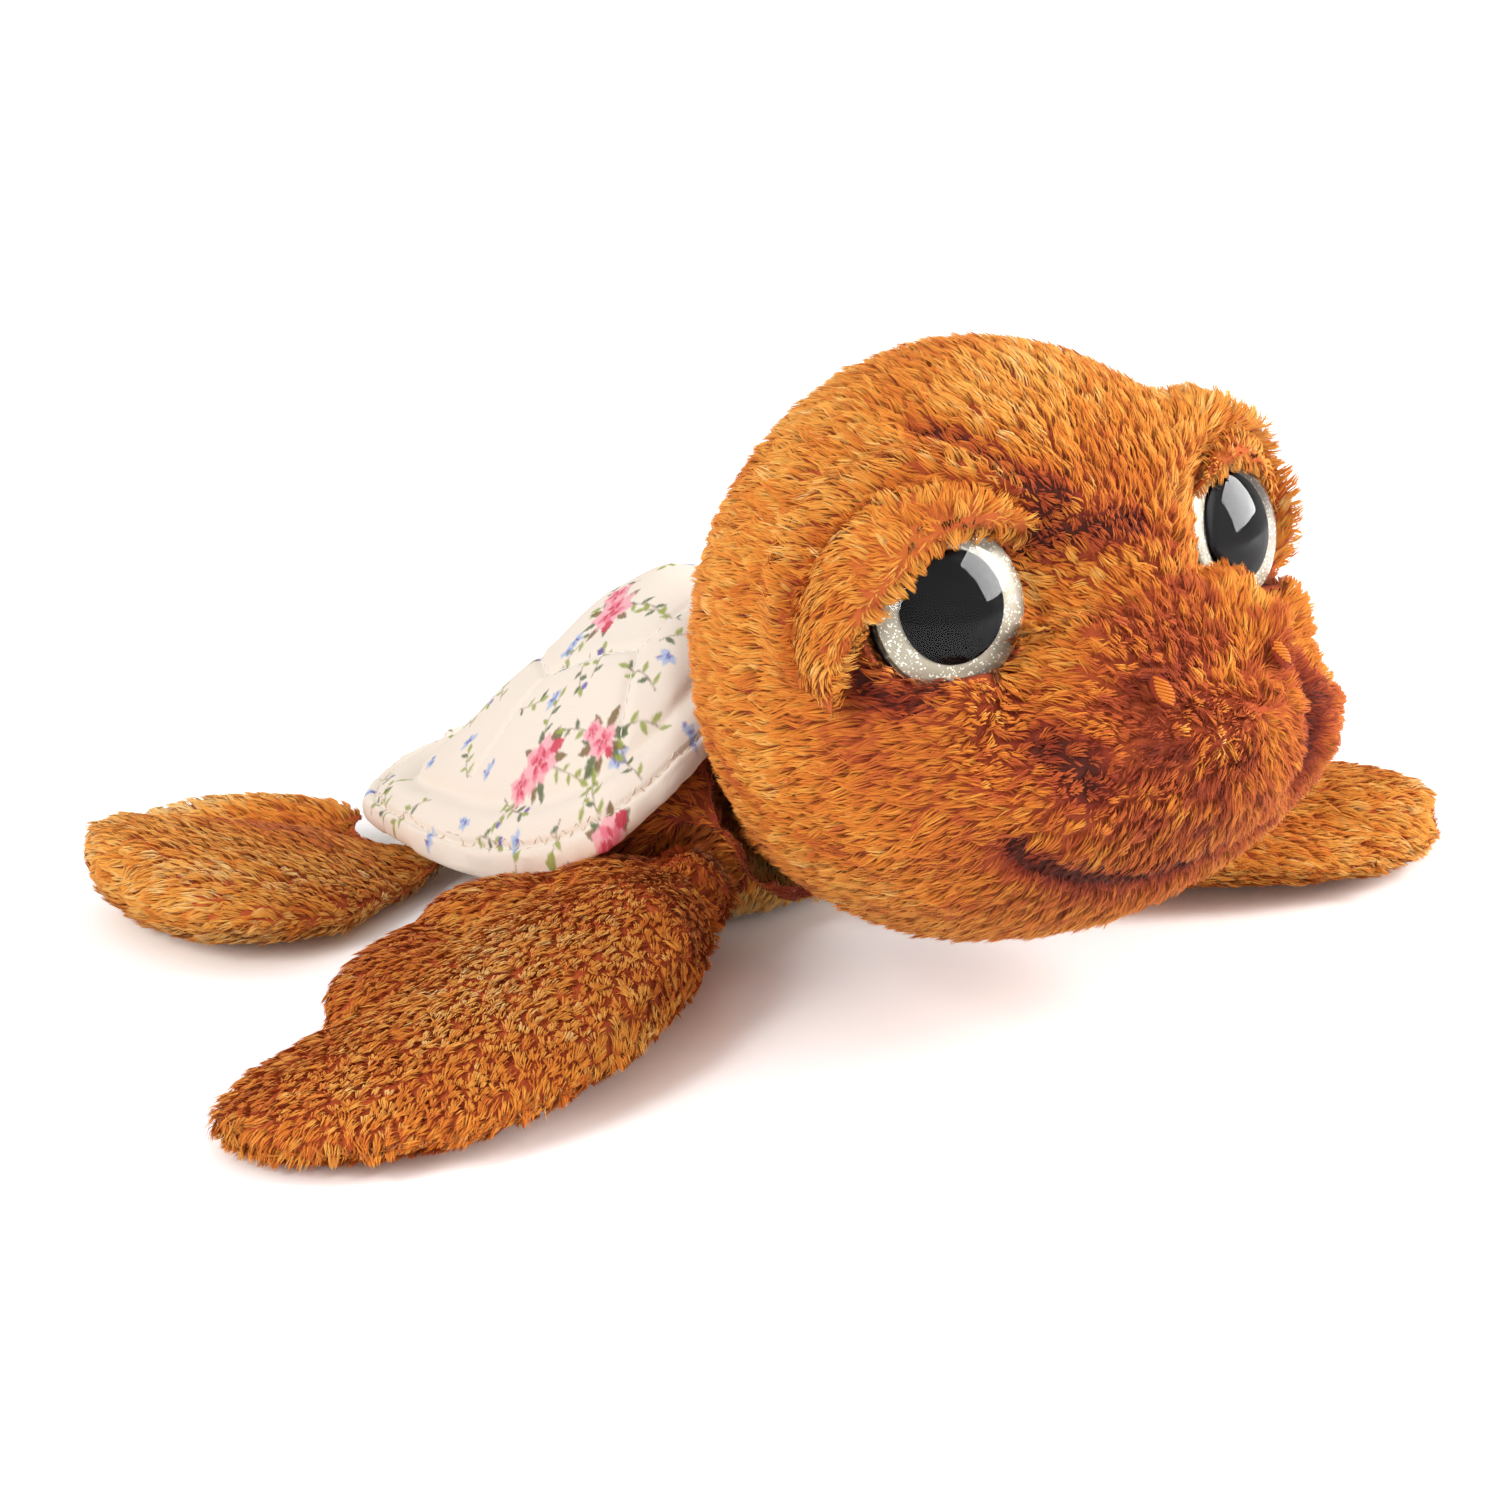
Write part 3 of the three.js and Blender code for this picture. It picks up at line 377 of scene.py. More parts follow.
def path_on_head(spots, lift=0.0, steps=8):
    """An even path over the head through spots of the picture, lifted by millimetres."""
    found = np.array([p for p in (spot_on(head_tree, spot) for spot in spots) if p is not None])
    rows = dense(found, (len(found) - 1) * steps + 1)
    for _ in range(steps):
        rows[1:-1] = (rows[:-2] + rows[2:]) / 2
    return rows + unit(rows - HEAD_MIDDLE) * lift * MM


def both(path):
    """A path and its mirror image on the other side of the face."""
    return [path, path * MIRROR]


FURROW_SPOTS = [(925, 418), (960, 428), (1000, 448), (1040, 472), (1083, 498), (1120, 510), (1155, 513)]
LID_SPOTS = [(1030, 521), (985, 490), (950, 484), (915, 488), (880, 500), (850, 524), (826, 546),
             (810, 572), (801, 602), (797, 640), (806, 682)]
BAG_SPOTS = [(850, 668), (856, 690), (880, 700), (915, 706), (945, 702), (970, 684), (990, 662), (1012, 640)]
MOUTH_SPOTS = [(1018, 858), (1045, 876), (1080, 888), (1120, 891), (1160, 888), (1192, 878), (1228, 856)]
DIMPLE_SPOTS = [(1050, 742), (1075, 752), (1095, 770), (1100, 785)]
CHEEK_SPOTS = [(706, 735), (725, 780), (757, 815), (800, 843), (850, 868)]
print("spots read from the picture:", len(FURROW_SPOTS + LID_SPOTS + BAG_SPOTS + MOUTH_SPOTS))

# %% [markdown]
# ## The brows and the cheeks
# The brows are thick rolls of filling that run from the bridge of the nose round the outer
# side of each eye. A Bezier curve with a bevel would do, but a roll from a list of radii
# swells and thins where the real fold does. The right brow is read from the picture and
# mirrored, and a loose flap is added to the left one, whose fold hangs lower.

# %% Roll the brows


def eye_frame(side):
    """The middle of an eye, its way out, its way to the nose and its way up."""
    axis = EYE_WAYS[side]
    inwards = np.array([1.0 if side == "right" else -1.0, 0, 0])
    inwards = unit(inwards - axis * (inwards @ axis))
    upwards = np.cross(axis, inwards)
    if upwards[2] < 0:
        upwards = -upwards
    return EYES[side], axis, inwards, upwards


BROW_SPOTS = [(1034, 500), (1000, 474), (960, 464), (905, 468), (852, 488), (812, 522), (792, 560),
              (785, 610), (792, 660), (808, 700)]
BROW_THICK = [1.2, 2.6, 3.6, 4.0, 4.2, 4.2, 4.2, 4.0, 3.2, 1.2]
brow_line = path_on_head(BROW_SPOTS, 0.6)
lid_line = path_on_head(LID_SPOTS, -0.6)
share = np.linspace(0, 1, len(brow_line))
brow_radii = np.interp(share, np.linspace(0, 1, len(BROW_THICK)), BROW_THICK)
brows = [roll(path, brow_radii) for path in both(brow_line)]

# On the left the fold hangs over the lid: degrees round the eye from the nose upwards, the
# distance out, the height above the eye's rim and the thickness, in millimetres.
FLAP_FILLING = 2.6
FLAP_SECTIONS = np.array([
    (56, 22.5, 1.0, 2.0),
    (75, 19.6, 3.0, 3.4),
    (100, 15.4, 4.4, 3.5),
    (125, 14.4, 4.6, 3.4),
    (150, 14.2, 4.4, 3.4),
    (180, 16.2, 3.4, 3.4),
    (205, 17.4, 1.0, 2.8),
    (216, 18.0, -0.5, 1.0),
])


def flap_roll():
    """The hanging part of the left brow."""
    centre, axis, inwards, upwards = eye_frame("left")
    degrees = np.linspace(FLAP_SECTIONS[0, 0], FLAP_SECTIONS[-1, 0], 40)
    out, height, thick = (np.interp(degrees, FLAP_SECTIONS[:, 0], FLAP_SECTIONS[:, k]) for k in (1, 2, 3))
    turn = np.radians(degrees)[:, None]
    ways = inwards * np.cos(turn) + upwards * np.sin(turn)
    path = centre + (ways * out[:, None] + axis * height[:, None]) * MM
    return roll(path, thick + FLAP_FILLING)


brows.append(flap_roll())
CHEEK_SIZE = (11.8, 12.5, 12.5)
MUZZLE_LOBE = ((17.5, -101, 71), (8.3, 9, 8.3))
cheeks = [pad((36.5 * hand, -84, 66), CHEEK_SIZE) for hand in (-1, 1)]
cheeks.append(pad(*MUZZLE_LOBE))
print("brow roll:", len(brow_line), "sections")

# %% [markdown]
# ## Sew the bags
# Each bag becomes one skin: the head with its brows and cheeks, the body, the neck and the
# four flippers with the lumps of filling at their roots. Separate panels with seams would
# look the same under long pile, and one closed skin can't gape at a joint.

# %% Make the skins
PILE_ROOM = 2.4
head = stuffed_skin("head_skin", HEAD_SOLIDS, 1.2, 10, PILE_ROOM, extra=brows + cheeks)
TORSO_SOLIDS = ["torso_plush", "belly_panel", "torso_fill", "bean_pouch"]
NECK_SOLIDS = ["neck_plush", "neck_fill"]
torso = stuffed_skin("torso_skin", TORSO_SOLIDS, 1.6, 6, PILE_ROOM)
neck = stuffed_skin("neck_skin", NECK_SOLIDS, 1.4, 4, PILE_ROOM)
# The filling gathers at the shoulders and the hips: centre, radii and turn of each gathering.
GATHERINGS = {
    "front_flipper_right": [((-42, -11, 13), (17, 12, 10), 137), ((-57, 1, 11), (18, 13, 8.5), 160),
                            ((-78, -2, 9.5), (26, 12, 7), 18)],
    "front_flipper_left": [((41, -11, 12.5), (18, 11, 8), 43), ((92, -57, 11.5), (28, 15, 8), -36)],
    "rear_flipper_right": [((-60, 80, 7.5), (24, 9, 6), 140)],
    "rear_flipper_left": [((60, 80, 7.5), (24, 9, 6), 40)],
}
flippers = {}
for place, gatherings in GATHERINGS.items():
    panels = [place + "_upper", place + "_under", place + "_fill", place + "_root"]
    extra = [pad(*gathering) for gathering in gatherings]
    flippers[place] = stuffed_skin(place + "_skin", panels, 1.1, 8, PILE_ROOM, extra=extra)

# %% [markdown]
# ## A small language for materials
# Node trees are easier to read as sums. The class below wraps the output of a node, and the
# usual signs between wrapped values add the Math nodes. Every other node comes from one
# function that sets it up before its sockets are filled.

# %% The wrapper for node values


class Signal:
    """A value in a node tree, on which Python's signs build Math nodes."""

    def __init__(self, tree, socket):
        self.tree = tree
        self.socket = socket

    def math(self, operation, first, second):
        settings = {"operation": operation}
        return add_node(self.tree, "ShaderNodeMath", settings=settings, places={0: first, 1: second})

    def __add__(self, other):
        return self.math("ADD", self, other)

    def __radd__(self, other):
        return self.math("ADD", other, self)

    def __sub__(self, other):
        return self.math("SUBTRACT", self, other)

    def __rsub__(self, other):
        return self.math("SUBTRACT", other, self)

    def __mul__(self, other):
        return self.math("MULTIPLY", self, other)

    def __rmul__(self, other):
        return self.math("MULTIPLY", other, self)

    def __or__(self, other):
        return self.math("MAXIMUM", self, other)

    def __gt__(self, other):
        return self.math("GREATER_THAN", self, other)


def join(tree, socket, value):
    """Links a signal to a socket, or writes a plain value on it."""
    if isinstance(value, Signal):
        tree.links.new(value.socket, socket)
    else:
        socket.default_value = value


def add_node(tree, kind, output=0, settings=None, stops=(), places=None, **values):
    """Any node: its settings and a ramp's stops first, then its sockets by place or by name."""
    made = tree.nodes.new(kind)
    for setting, value in (settings or {}).items():
        setattr(made, setting, value)
    if stops:
        elements = made.color_ramp.elements
        while len(elements) < len(stops):
            elements.new(0.5)
        for element, (at, colour) in zip(elements, stops):
            element.position = at
            element.color = colour
    for place, value in (places or {}).items():
        join(tree, made.inputs[place], value)
    for socket, value in values.items():
        join(tree, made.inputs[socket.replace("_", " ")], value)
    return Signal(tree, made.outputs[output])


print("signs for Math nodes: + - * | >")

# %% [markdown]
# ## A material under construction
# A material is a shader whose sockets take plain values or wrapped ones. A short method for
# each common node keeps the recipes below down to the lines that matter.

# %% The class for materials


class Finish:
    """A material with its shader, whose nodes come from add_node."""

    def __init__(self, name):
        self.material = bpy.data.materials.new(name)
        self.material.use_nodes = True
        self.tree = self.material.node_tree
        self.shader = self.tree.nodes["Principled BSDF"]

    def node(self, kind, output=0, **parts):
        return add_node(self.tree, kind, output, **parts)

    def mix(self, factor, first, second, blend="MIX"):
        settings = {"data_type": "RGBA", "blend_type": blend}
        return self.node("ShaderNodeMix", 2, settings=settings, places={0: factor, 6: first, 7: second})

    def noise(self, place, scale, detail):
        return self.node("ShaderNodeTexNoise", Vector=place, Scale=scale, Detail=detail)

    def bump(self, height, strength, distance):
        return self.node("ShaderNodeBump", Strength=strength, Distance=distance, Height=height)

    def on_piece(self):
        """Places in the piece's own space."""
        return self.node("ShaderNodeTexCoord", "Object")

    def set(self, **values):
        for socket, value in values.items():
            join(self.tree, self.shader.inputs[socket.replace("_", " ")], value)
        return self.material


def rgb(red, green, blue):
    """A colour as it is seen on a screen, from 0 to 255, as the linear values of a socket."""
    shares = [c / 255 for c in (red, green, blue)]
    linear = [c / 12.92 if c <= 0.04045 else ((c + 0.055) / 1.055) ** 2.4 for c in shares]
    return (*linear, 1)


print("middle grey is", round(rgb(128, 128, 128)[0], 3), "in a socket")

# %% [markdown]
# ## The dye of the plush
# The fabric is dyed unevenly: red-brown in worn patches of the muzzle, caramel over most of
# it and golden on the tips. One ramp holds these shades, so a strand needs only one number,
# its tone, and the same ramp colours the backing cloth under it. Each strand is also darker at its root,
# partly from its dye and partly as painted shade deep in the pile, and the low tones along the creases are
# painted shade. A picture of real fur would tie the look to one photo, while a ramp can be retuned shade by
# shade.

# %% Mix the dye for strands
DYE = [
    (0.0, rgb(84, 34, 24)),
    (0.22, rgb(148, 56, 38)),
    (0.45, rgb(198, 92, 48)),
    (0.68, rgb(232, 138, 50)),
    (0.86, rgb(246, 178, 82)),
    (1.0, rgb(250, 210, 140)),
]
ROOT_SHADE = 0.74
TIP_SHADE = 1.12


def pile_finish(name):
    """Plush strands: across the layer Strand is their tone, and up it is root to tip."""
    finish = Finish(name)
    strand = finish.node("ShaderNodeUVMap", settings={"uv_map": "Strand"})
    tone = finish.node("ShaderNodeSeparateXYZ", "X", Vector=strand)
    rise = finish.node("ShaderNodeSeparateXYZ", "Y", Vector=strand)
    dye = finish.node("ShaderNodeValToRGB", stops=DYE, Fac=tone)
    # Painted shade and light along a strand: darker towards the root and lighter past the ramp at the tip.
    # This is partly the dyed tips and partly painted shade deep in the pile.
    light = rise * (TIP_SHADE - ROOT_SHADE) + ROOT_SHADE
    grey = finish.node("ShaderNodeCombineColor", Red=light, Green=light, Blue=light)
    shaded = finish.mix(1.0, dye, grey, "MULTIPLY")
    return finish.set(Base_Color=shaded, Roughness=0.72, Specular_IOR_Level=0.2, Sheen_Weight=0.25,
                      Sheen_Roughness=0.4, Sheen_Tint=rgb(255, 214, 160))


print("dye shades:", len(DYE))

# %% [markdown]
# ## The backing cloth
# Between the strands a knitted cloth shows. Its tones are set low, partly its own colour and
# partly painted shade between the strands. Each bag has its own tone of it, and a colour layer adds painted
# shade along the creases of the face.

# %% Knit the backing


def backing_finish(name, tone, spread, wear_and_shade=False):
    """The knitted backing of the plush, seen only between the strands."""
    finish = Finish(name)
    place = finish.on_piece()
    patches = finish.noise(place, 90.0, 3.0)
    depth = (patches - 0.5) * spread + tone
    # Painted shade: the crease layer darkens the cloth along the creases of the face.
    if wear_and_shade:
        layer = finish.node("ShaderNodeVertexColor", settings={"layer_name": "CreaseShade"})
        depth = depth - finish.node("ShaderNodeSeparateColor", Color=layer)
    dye = finish.node("ShaderNodeValToRGB", stops=DYE, Fac=depth)
    knit = finish.noise(place, 1600.0, 2.0)
    relief = finish.bump(knit, 0.5, 0.0003)
    return finish.set(Base_Color=dye, Roughness=0.9, Normal=relief)


plush_pile = pile_finish("caramel_pile")
# The backing tones are low, partly the cloth's colour and partly painted shade between the strands.
plush_backing = backing_finish("plush_backing", 0.28, 0.3)
head_backing = backing_finish("head_backing", 0.36, 0.3, True)
lid_backing = backing_finish("lid_backing", 0.5, 0.2)
flipper_backing = backing_finish("flipper_backing", 0.44, 0.24)
print("backing cloths: body, head, lids and flippers")

# %% [markdown]
# ## Growing pile
# Long plush lies along its nap and gathers in small tufts. Each strand here is a narrow
# blade of one square and one triangle, rooted in the skin. Blades near one another lean on
# the same tuft centre, which parts the pile and lets the dark roots show between tufts.

# %% Patches and ways on a skin


def mottle(points, size, seed):
    """Soft patches, mostly between -1 and 1, about size millimetres wide."""
    dice = np.random.default_rng(seed)
    total = np.zeros(len(points))
    for _ in range(9):
        way = unit(dice.normal(size=(1, 3)))[0]
        wave = dice.uniform(0.6, 1.6) * 2 * math.pi / (2.2 * size * MM)
        total += np.sin(points @ way * wave + dice.uniform(0, 6.28))
    return total / 4


def along_skin(ways, normals):
    """Ways pressed flat on the skin."""
    flat = ways - normals * np.sum(ways * normals, axis=1, keepdims=True)
    return unit(flat)


print("patches at two points:", mottle(np.array([[0, 0, 0], [0, 0, 0.02]]), 10, 1).round(2))

# %% [markdown]
# ## Roots and blades
# The roots are random points, more on the larger faces, so the pile is even. Hair curves
# would be lighter to draw, but a model file holds only meshes, so each strand is a blade. Its
# tone and its rise stand in a UV layer, which the dye reads.

# %% Scatter the roots and join the blades


def scatter(mesh, per_mm2, dice):
    """Random points on a mesh with their normals."""
    mesh.calc_loop_triangles()
    corners = np.zeros(len(mesh.loop_triangles) * 3, np.int32)
    mesh.loop_triangles.foreach_get("vertices", corners)
    corners = corners.reshape(-1, 3)
    rows = coordinates(mesh)
    ways = normals_of(mesh)
    a, b, c = (rows[corners[:, k]] for k in range(3))
    areas = np.linalg.norm(np.cross(b - a, c - a), axis=1) / 2
    count = int(areas.sum() / MM / MM * per_mm2)
    chosen = dice.choice(len(areas), count, p=areas / areas.sum())
    u, v = dice.random((2, count))
    over = u + v > 1
    u[over] = 1 - u[over]
    v[over] = 1 - v[over]
    w = 1 - u - v
    picked = corners[chosen]
    points = sum(rows[picked[:, k]] * s[:, None] for k, s in enumerate((w, u, v)))
    facing = unit(sum(ways[picked[:, k]] * s[:, None] for k, s in enumerate((w, u, v))))
    return points, facing


def strand_mesh(name, root, middle, tip, half, facing, tone):
    """Narrow blades as one mesh, with their tone and rise in two UV layers."""
    count = len(root)
    places = np.stack(
        [root - half * 0.8, root + half * 0.8, middle + half, middle - half, tip], axis=1
    ).reshape(-1, 3)
    first = np.arange(count) * 5
    squares = np.stack([first, first + 1, first + 2, first + 3], axis=1)
    points = np.stack([first + 3, first + 2, first + 4], axis=1)
    loops = np.concatenate([squares, points], axis=1).ravel()
    mesh = bpy.data.meshes.new(name)
    mesh.vertices.add(count * 5)
    mesh.vertices.foreach_set("co", places.astype(np.float32).ravel())
    mesh.loops.add(len(loops))
    mesh.loops.foreach_set("vertex_index", loops.astype(np.int32))
    mesh.polygons.add(count * 2)
    starts = np.stack([np.arange(count) * 7, np.arange(count) * 7 + 4], axis=1).ravel()
    mesh.polygons.foreach_set("loop_start", starts.astype(np.int32))
    mesh.update(calc_edges=True)
    smooth_shaded(mesh)
    rise = np.tile(np.array([0.02, 0.02, 0.55, 0.55, 0.55, 0.55, 0.98]), count)
    across = np.repeat(np.clip(tone, 0.01, 0.99), 7)
    layer = np.stack([across, rise], axis=1).astype(np.float32).ravel()
    for layer_name in ("Strand", "OFBake"):
        mesh.uv_layers.new(name=layer_name).uv.foreach_set("vector", layer)
    mesh.normals_split_custom_set_from_vertices(np.repeat(facing, 5, axis=0))
    return mesh


trial_roots, _ = scatter(neck.data, 1, np.random.default_rng(0))
print("roots on the neck at one to the square millimetre:", len(trial_roots))

# %% [markdown]
# ## Tufts
# Real pile clumps after a little handling. Some strands are chosen as the middles of tufts,
# and the rest lean on the nearest of these, turn with it and share its length and tone.

# %% Grow a pile
FLOOR_ROOM = 0.4
ROOT_DEPTH = 0.3
MIDDLE_PULL = 0.35
# How much strands differ: turns and twists in degrees, the others as shares.
STRAND_TURN = 6
STRAND_TWIST = 28
TUFT_LENGTH = 0.12
STRAND_LENGTH = 0.08
STRAND_WIDTH = 0.15
TUFT_TONE = 0.06
STRAND_TONE = 0.05


def tufts_among(points, wanted, dice):
    """Chooses tuft centres, and gives each strand the number of its nearest centre."""
    centres = dice.choice(len(points), min(max(wanted, 1), len(points)), replace=False)
    finder = finder_of(points[centres])
    return centres, np.array([finder.find(p)[1] for p in points])


def leaning(facing, way, degrees):
    """Ways that rise from the skin by some degrees."""
    rise = math.radians(degrees)
    return facing * math.sin(rise) + way * math.cos(rise)


def grow_pile(name, skin, body, per_mm2, long, nap, tone, keep=None, lean=(52, 20), width=0.28,
              tuft=1.6, pull=0.5, seed=1, messy=14, clear=None):
    """Covers a skin with pile. Lengths are in millimetres and lean is in degrees."""
    dice = np.random.default_rng(seed)
    points, facing = scatter(skin.data, per_mm2, dice)
    if keep is not None:
        kept = dice.random(len(points)) < keep(points, facing)
        points = points[kept]
        facing = facing[kept]
    count = len(points)
    way = along_skin(nap(points, facing), facing)
    side = np.cross(facing, way)
    length = long(points) * MM if callable(long) else np.full(count, long * MM)

    centres, owner = tufts_among(points, int(count / (per_mm2 * tuft * tuft)), dice)
    turn = np.radians(dice.normal(0, messy, len(centres)))[owner]
    turn = turn + np.radians(dice.normal(0, STRAND_TURN, count))
    way = way * np.cos(turn)[:, None] + side * np.sin(turn)[:, None]
    side = np.cross(facing, way)
    uneven = 1 + dice.normal(0, TUFT_LENGTH, len(centres))[owner]
    length = length * (uneven + dice.normal(0, STRAND_LENGTH, count))

    root = points - facing * ROOT_DEPTH * MM
    middle = root + leaning(facing, way, lean[0]) * length[:, None] * 0.5
    tip = middle + leaning(facing, way, lean[1]) * length[:, None] * 0.5
    leader = centres[owner]
    middle = middle + (middle[leader] - middle) * pull * MIDDLE_PULL
    tip = tip + (tip[leader] - tip) * pull
    middle[:, 2] = np.maximum(middle[:, 2], FLOOR_ROOM * MM)
    tip[:, 2] = np.maximum(tip[:, 2], FLOOR_ROOM * MM)
    if clear is not None:
        tip = np.where(clear(tip)[:, None], root + facing * 0.3 * MM, tip)
        hidden = clear(middle) | clear(tip)
        middle = np.where(hidden[:, None], root + facing * 0.2 * MM, middle)

    twist = np.radians(dice.normal(0, STRAND_TWIST, count))
    half = side * np.cos(twist)[:, None] + facing * np.sin(twist)[:, None]
    half = half * (width * MM / 2 * (1 + dice.normal(0, STRAND_WIDTH, count)))[:, None]
    shade = tone(points) + dice.normal(0, TUFT_TONE, len(centres))[owner]
    shade = shade + dice.normal(0, STRAND_TONE, count)
    blade = unit(np.cross(half, tip - root))
    blade = blade * np.sign(np.sum(blade * facing, axis=1, keepdims=True))
    lit = unit(facing * 0.7 + blade * 0.3)
    mesh = strand_mesh(name, root, middle, tip, -half, lit, shade)
    made = piece(name, mesh)
    mesh.materials.append(plush_pile)
    if body is not None:
        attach(made, body)
    print(name, "has", count, "strands")
    return made


DENSITY = 3.8
print("strands to the square millimetre:", DENSITY)

# %% [markdown]
# ## The creases of the face
# The furrow of the forehead, the bags under the eyes and the mouth are seams pulled tight
# from inside. They could be sculpted, but a path with a soft bell across it gives a crease
# that is easy to move. The same list says how much shorter the pile is there, and how much darker and redder
# it is painted, as painted shade in the crease.

# %% Name the creases
VALLEY = np.array([(21, -104, 70), (22.5, -107, 63), (22.5, -108, 56), (20, -107, 49)]) * MM
# Paths, then depth and half width in millimetres, and how much darker and redder the pile is painted, as
# painted shade in the crease.
CREASES = {
    "furrow": ([path_on_head(FURROW_SPOTS)], 4.2, 2.4, 0.24),
    "bag": (both(path_on_head(BAG_SPOTS)), 3.4, 2.4, 0.28),
    "mouth": (both(path_on_head(MOUTH_SPOTS)), 4.6, 2.2, 0.36),
    "dimple": (both(path_on_head(DIMPLE_SPOTS)), 1.6, 4.0, 0.2),
    "valley": ([VALLEY], 3.0, 3.0, 0.24),
    "cheek": (both(path_on_head(CHEEK_SPOTS)), 1.2, 1.8, 0.14),
}
# Painted shade along the crease above each lid: its half width in millimetres and how much darker the pile
# is there.
LID_PAINTED_SHADE_WIDE = 2.2
LID_PAINTED_SHADE = 0.16
print("creases:", ", ".join(CREASES))

# %% [markdown]
# ## Press the creases
# Each point of the skin moves in by the depth of the nearest crease. The pressing comes
# before the eyes are cut free, because the bags run close under them.

# %% Press them into the head


def distance_to(points, paths):
    """How far each point is from the nearest of some paths, in millimetres."""
    finder = finder_of(np.concatenate([dense(path) for path in paths]))
    return np.array([finder.find(p)[2] for p in points]) / MM


def press_creases(obj):
    """Presses the sewn creases and the muzzle's cleft into the head."""
    rows = coordinates(obj.data)
    ways = normals_of(obj.data)
    depth = np.zeros(len(rows))
    for paths, deep, wide, _ in CREASES.values():
        depth = np.maximum(depth, deep * bell(distance_to(rows, paths), 0, wide))
    move_to(obj.data, rows - ways * depth[:, None] * MM)
    soften(obj, 5)
    print("deepest crease:", round(float(depth.max()), 1), "mm")


before_pressing = coordinates(head.data)
press_creases(head)

# %% [markdown]
# ## Room for the eyes
# On the real toy the far eye peeps over the bridge of the nose, and only a lid hangs over an
# eye. A boolean cut would leave sharp rims. Instead each point that stands between the
# camera and an eye, or between the camera's mirror image and the other eye, sinks back until
# the eye is seen, and the move is spread softly over its neighbours.

# %% Hollow the bridge and the lids
OPEN_RADIUS = 14.2
OPEN_EDGE = 1.6
NOSE_REACH = 34
SEAT_RADIUS = 12.7
SEAT_LOW = 9.6
SEAT_DEPTH = 2


def hollow_for_eye(rows, origin, side, low):
    """How far each point moves so that an eye is seen from a place, past the nose."""
    centre, axis, inwards, upwards = eye_frame(side)
    way = rows - origin
    reach = ((centre - origin) @ axis) / (way @ axis)
    off = origin + way * reach[:, None] - centre
    radius = np.linalg.norm(off, axis=1) / MM
    beyond = (reach - 1) * np.linalg.norm(way, axis=1) / MM
    cover = np.clip((OPEN_RADIUS - radius) / OPEN_EDGE, 0, 1)
    cover = cover * np.clip((off @ upwards / MM - low) / 2, 0, 1)
    blocks = (beyond > -9) & (beyond < NOSE_REACH)
    amount = np.where(blocks, np.maximum(beyond + 1.0, 0) * cover, 0)
    return unit(way) * amount[:, None] * MM


def spread_out(mesh, moves, rounds):
    """Blurs the moves over neighbouring points, so that a hollow gets a soft edge."""
    pairs = np.zeros(len(mesh.edges) * 2, np.int32)
    mesh.edges.foreach_get("vertices", pairs)
    pairs = pairs.reshape(-1, 2)
    count = np.bincount(pairs.ravel(), minlength=len(moves))[:, None]
    for _ in range(rounds):
        total = np.zeros_like(moves)
        np.add.at(total, pairs[:, 0], moves[pairs[:, 1]])
        np.add.at(total, pairs[:, 1], moves[pairs[:, 0]])
        moves = moves * 0.5 + total / np.maximum(count, 1) * 0.5
    return moves


def seat_the_eyes(obj):
    """Sinks the skin behind each eye, so that only its rim meets the button."""
    rows = coordinates(obj.data)
    for side in EYES:
        centre, axis, inwards, upwards = eye_frame(side)
        off = rows - centre
        height = off @ axis
        radius = np.linalg.norm(off - height[:, None] * axis, axis=1)
        under = (radius < SEAT_RADIUS * MM) & (height > -SEAT_DEPTH * MM) & (off @ upwards > -SEAT_LOW * MM)
        rows[under] -= axis * (height[under] + SEAT_DEPTH * MM)[:, None]
    move_to(obj.data, rows)


viewer = np.array(eye_point)
# Who looks, at which eye, and how low the view opens below the middle of the eye.
SIGHTS = [
    (viewer, "left", -8),
    (viewer * MIRROR, "right", -8),
    (viewer, "right", -11.5),
    (viewer * MIRROR, "left", -11.5),
]
for spread_rounds in (3, 2, 1):
    rows = coordinates(head.data)
    moves = np.zeros_like(rows)
    for origin, side, low in SIGHTS:
        more = hollow_for_eye(rows, origin, side, low)
        larger = np.linalg.norm(more, axis=1) > np.linalg.norm(moves, axis=1)
        moves[larger] = more[larger]
    print("hollow:", round(float(np.linalg.norm(moves, axis=1).max() / MM), 1), "mm")
    move_to(head.data, rows + spread_out(head.data, moves, spread_rounds))
    soften(head, 2)
seat_the_eyes(head)

# %% [markdown]
# ## Painted shade along the creases
# Pressing moves the skin, so a crease's path has to sink with it, or the pile would look for
# the crease in the air. Each point of a path takes the new place of the skin point that was
# nearest. Then a colour layer paints shade into the backing along the sunk paths.

# %% Sink the paths and paint shade along the creases
pressed = coordinates(head.data)
point_finder = finder_of(before_pressing)


def sunk(path):
    """The same path after pressing, at the bottom of its crease."""
    low = np.array([pressed[point_finder.find(point)[1]] for point in dense(path)])
    for _ in range(3):
        low[1:-1] = (low[:-2] + low[1:-1] * 2 + low[2:]) / 4
    return low


for label, (paths, deep, wide, red) in CREASES.items():
    CREASES[label] = ([sunk(path) for path in paths], deep, wide, red)
# Painted shade: this layer darkens the backing along the sunk creases.
wear_and_shade = np.zeros(len(pressed))
for paths, _, wide, red in CREASES.values():
    wear_and_shade = np.maximum(wear_and_shade, 2.2 * red * bell(distance_to(pressed, paths), 0, wide))
crease_shade_rows = np.stack([wear_and_shade, wear_and_shade, wear_and_shade, np.ones(len(wear_and_shade))], axis=1).astype(np.float32)
crease_shade_layer = head.data.color_attributes.new("CreaseShade", "FLOAT_COLOR", "POINT")
crease_shade_layer.data.foreach_set("color", crease_shade_rows.ravel())
print("worn points:", int((wear_and_shade > 0.1).sum()))

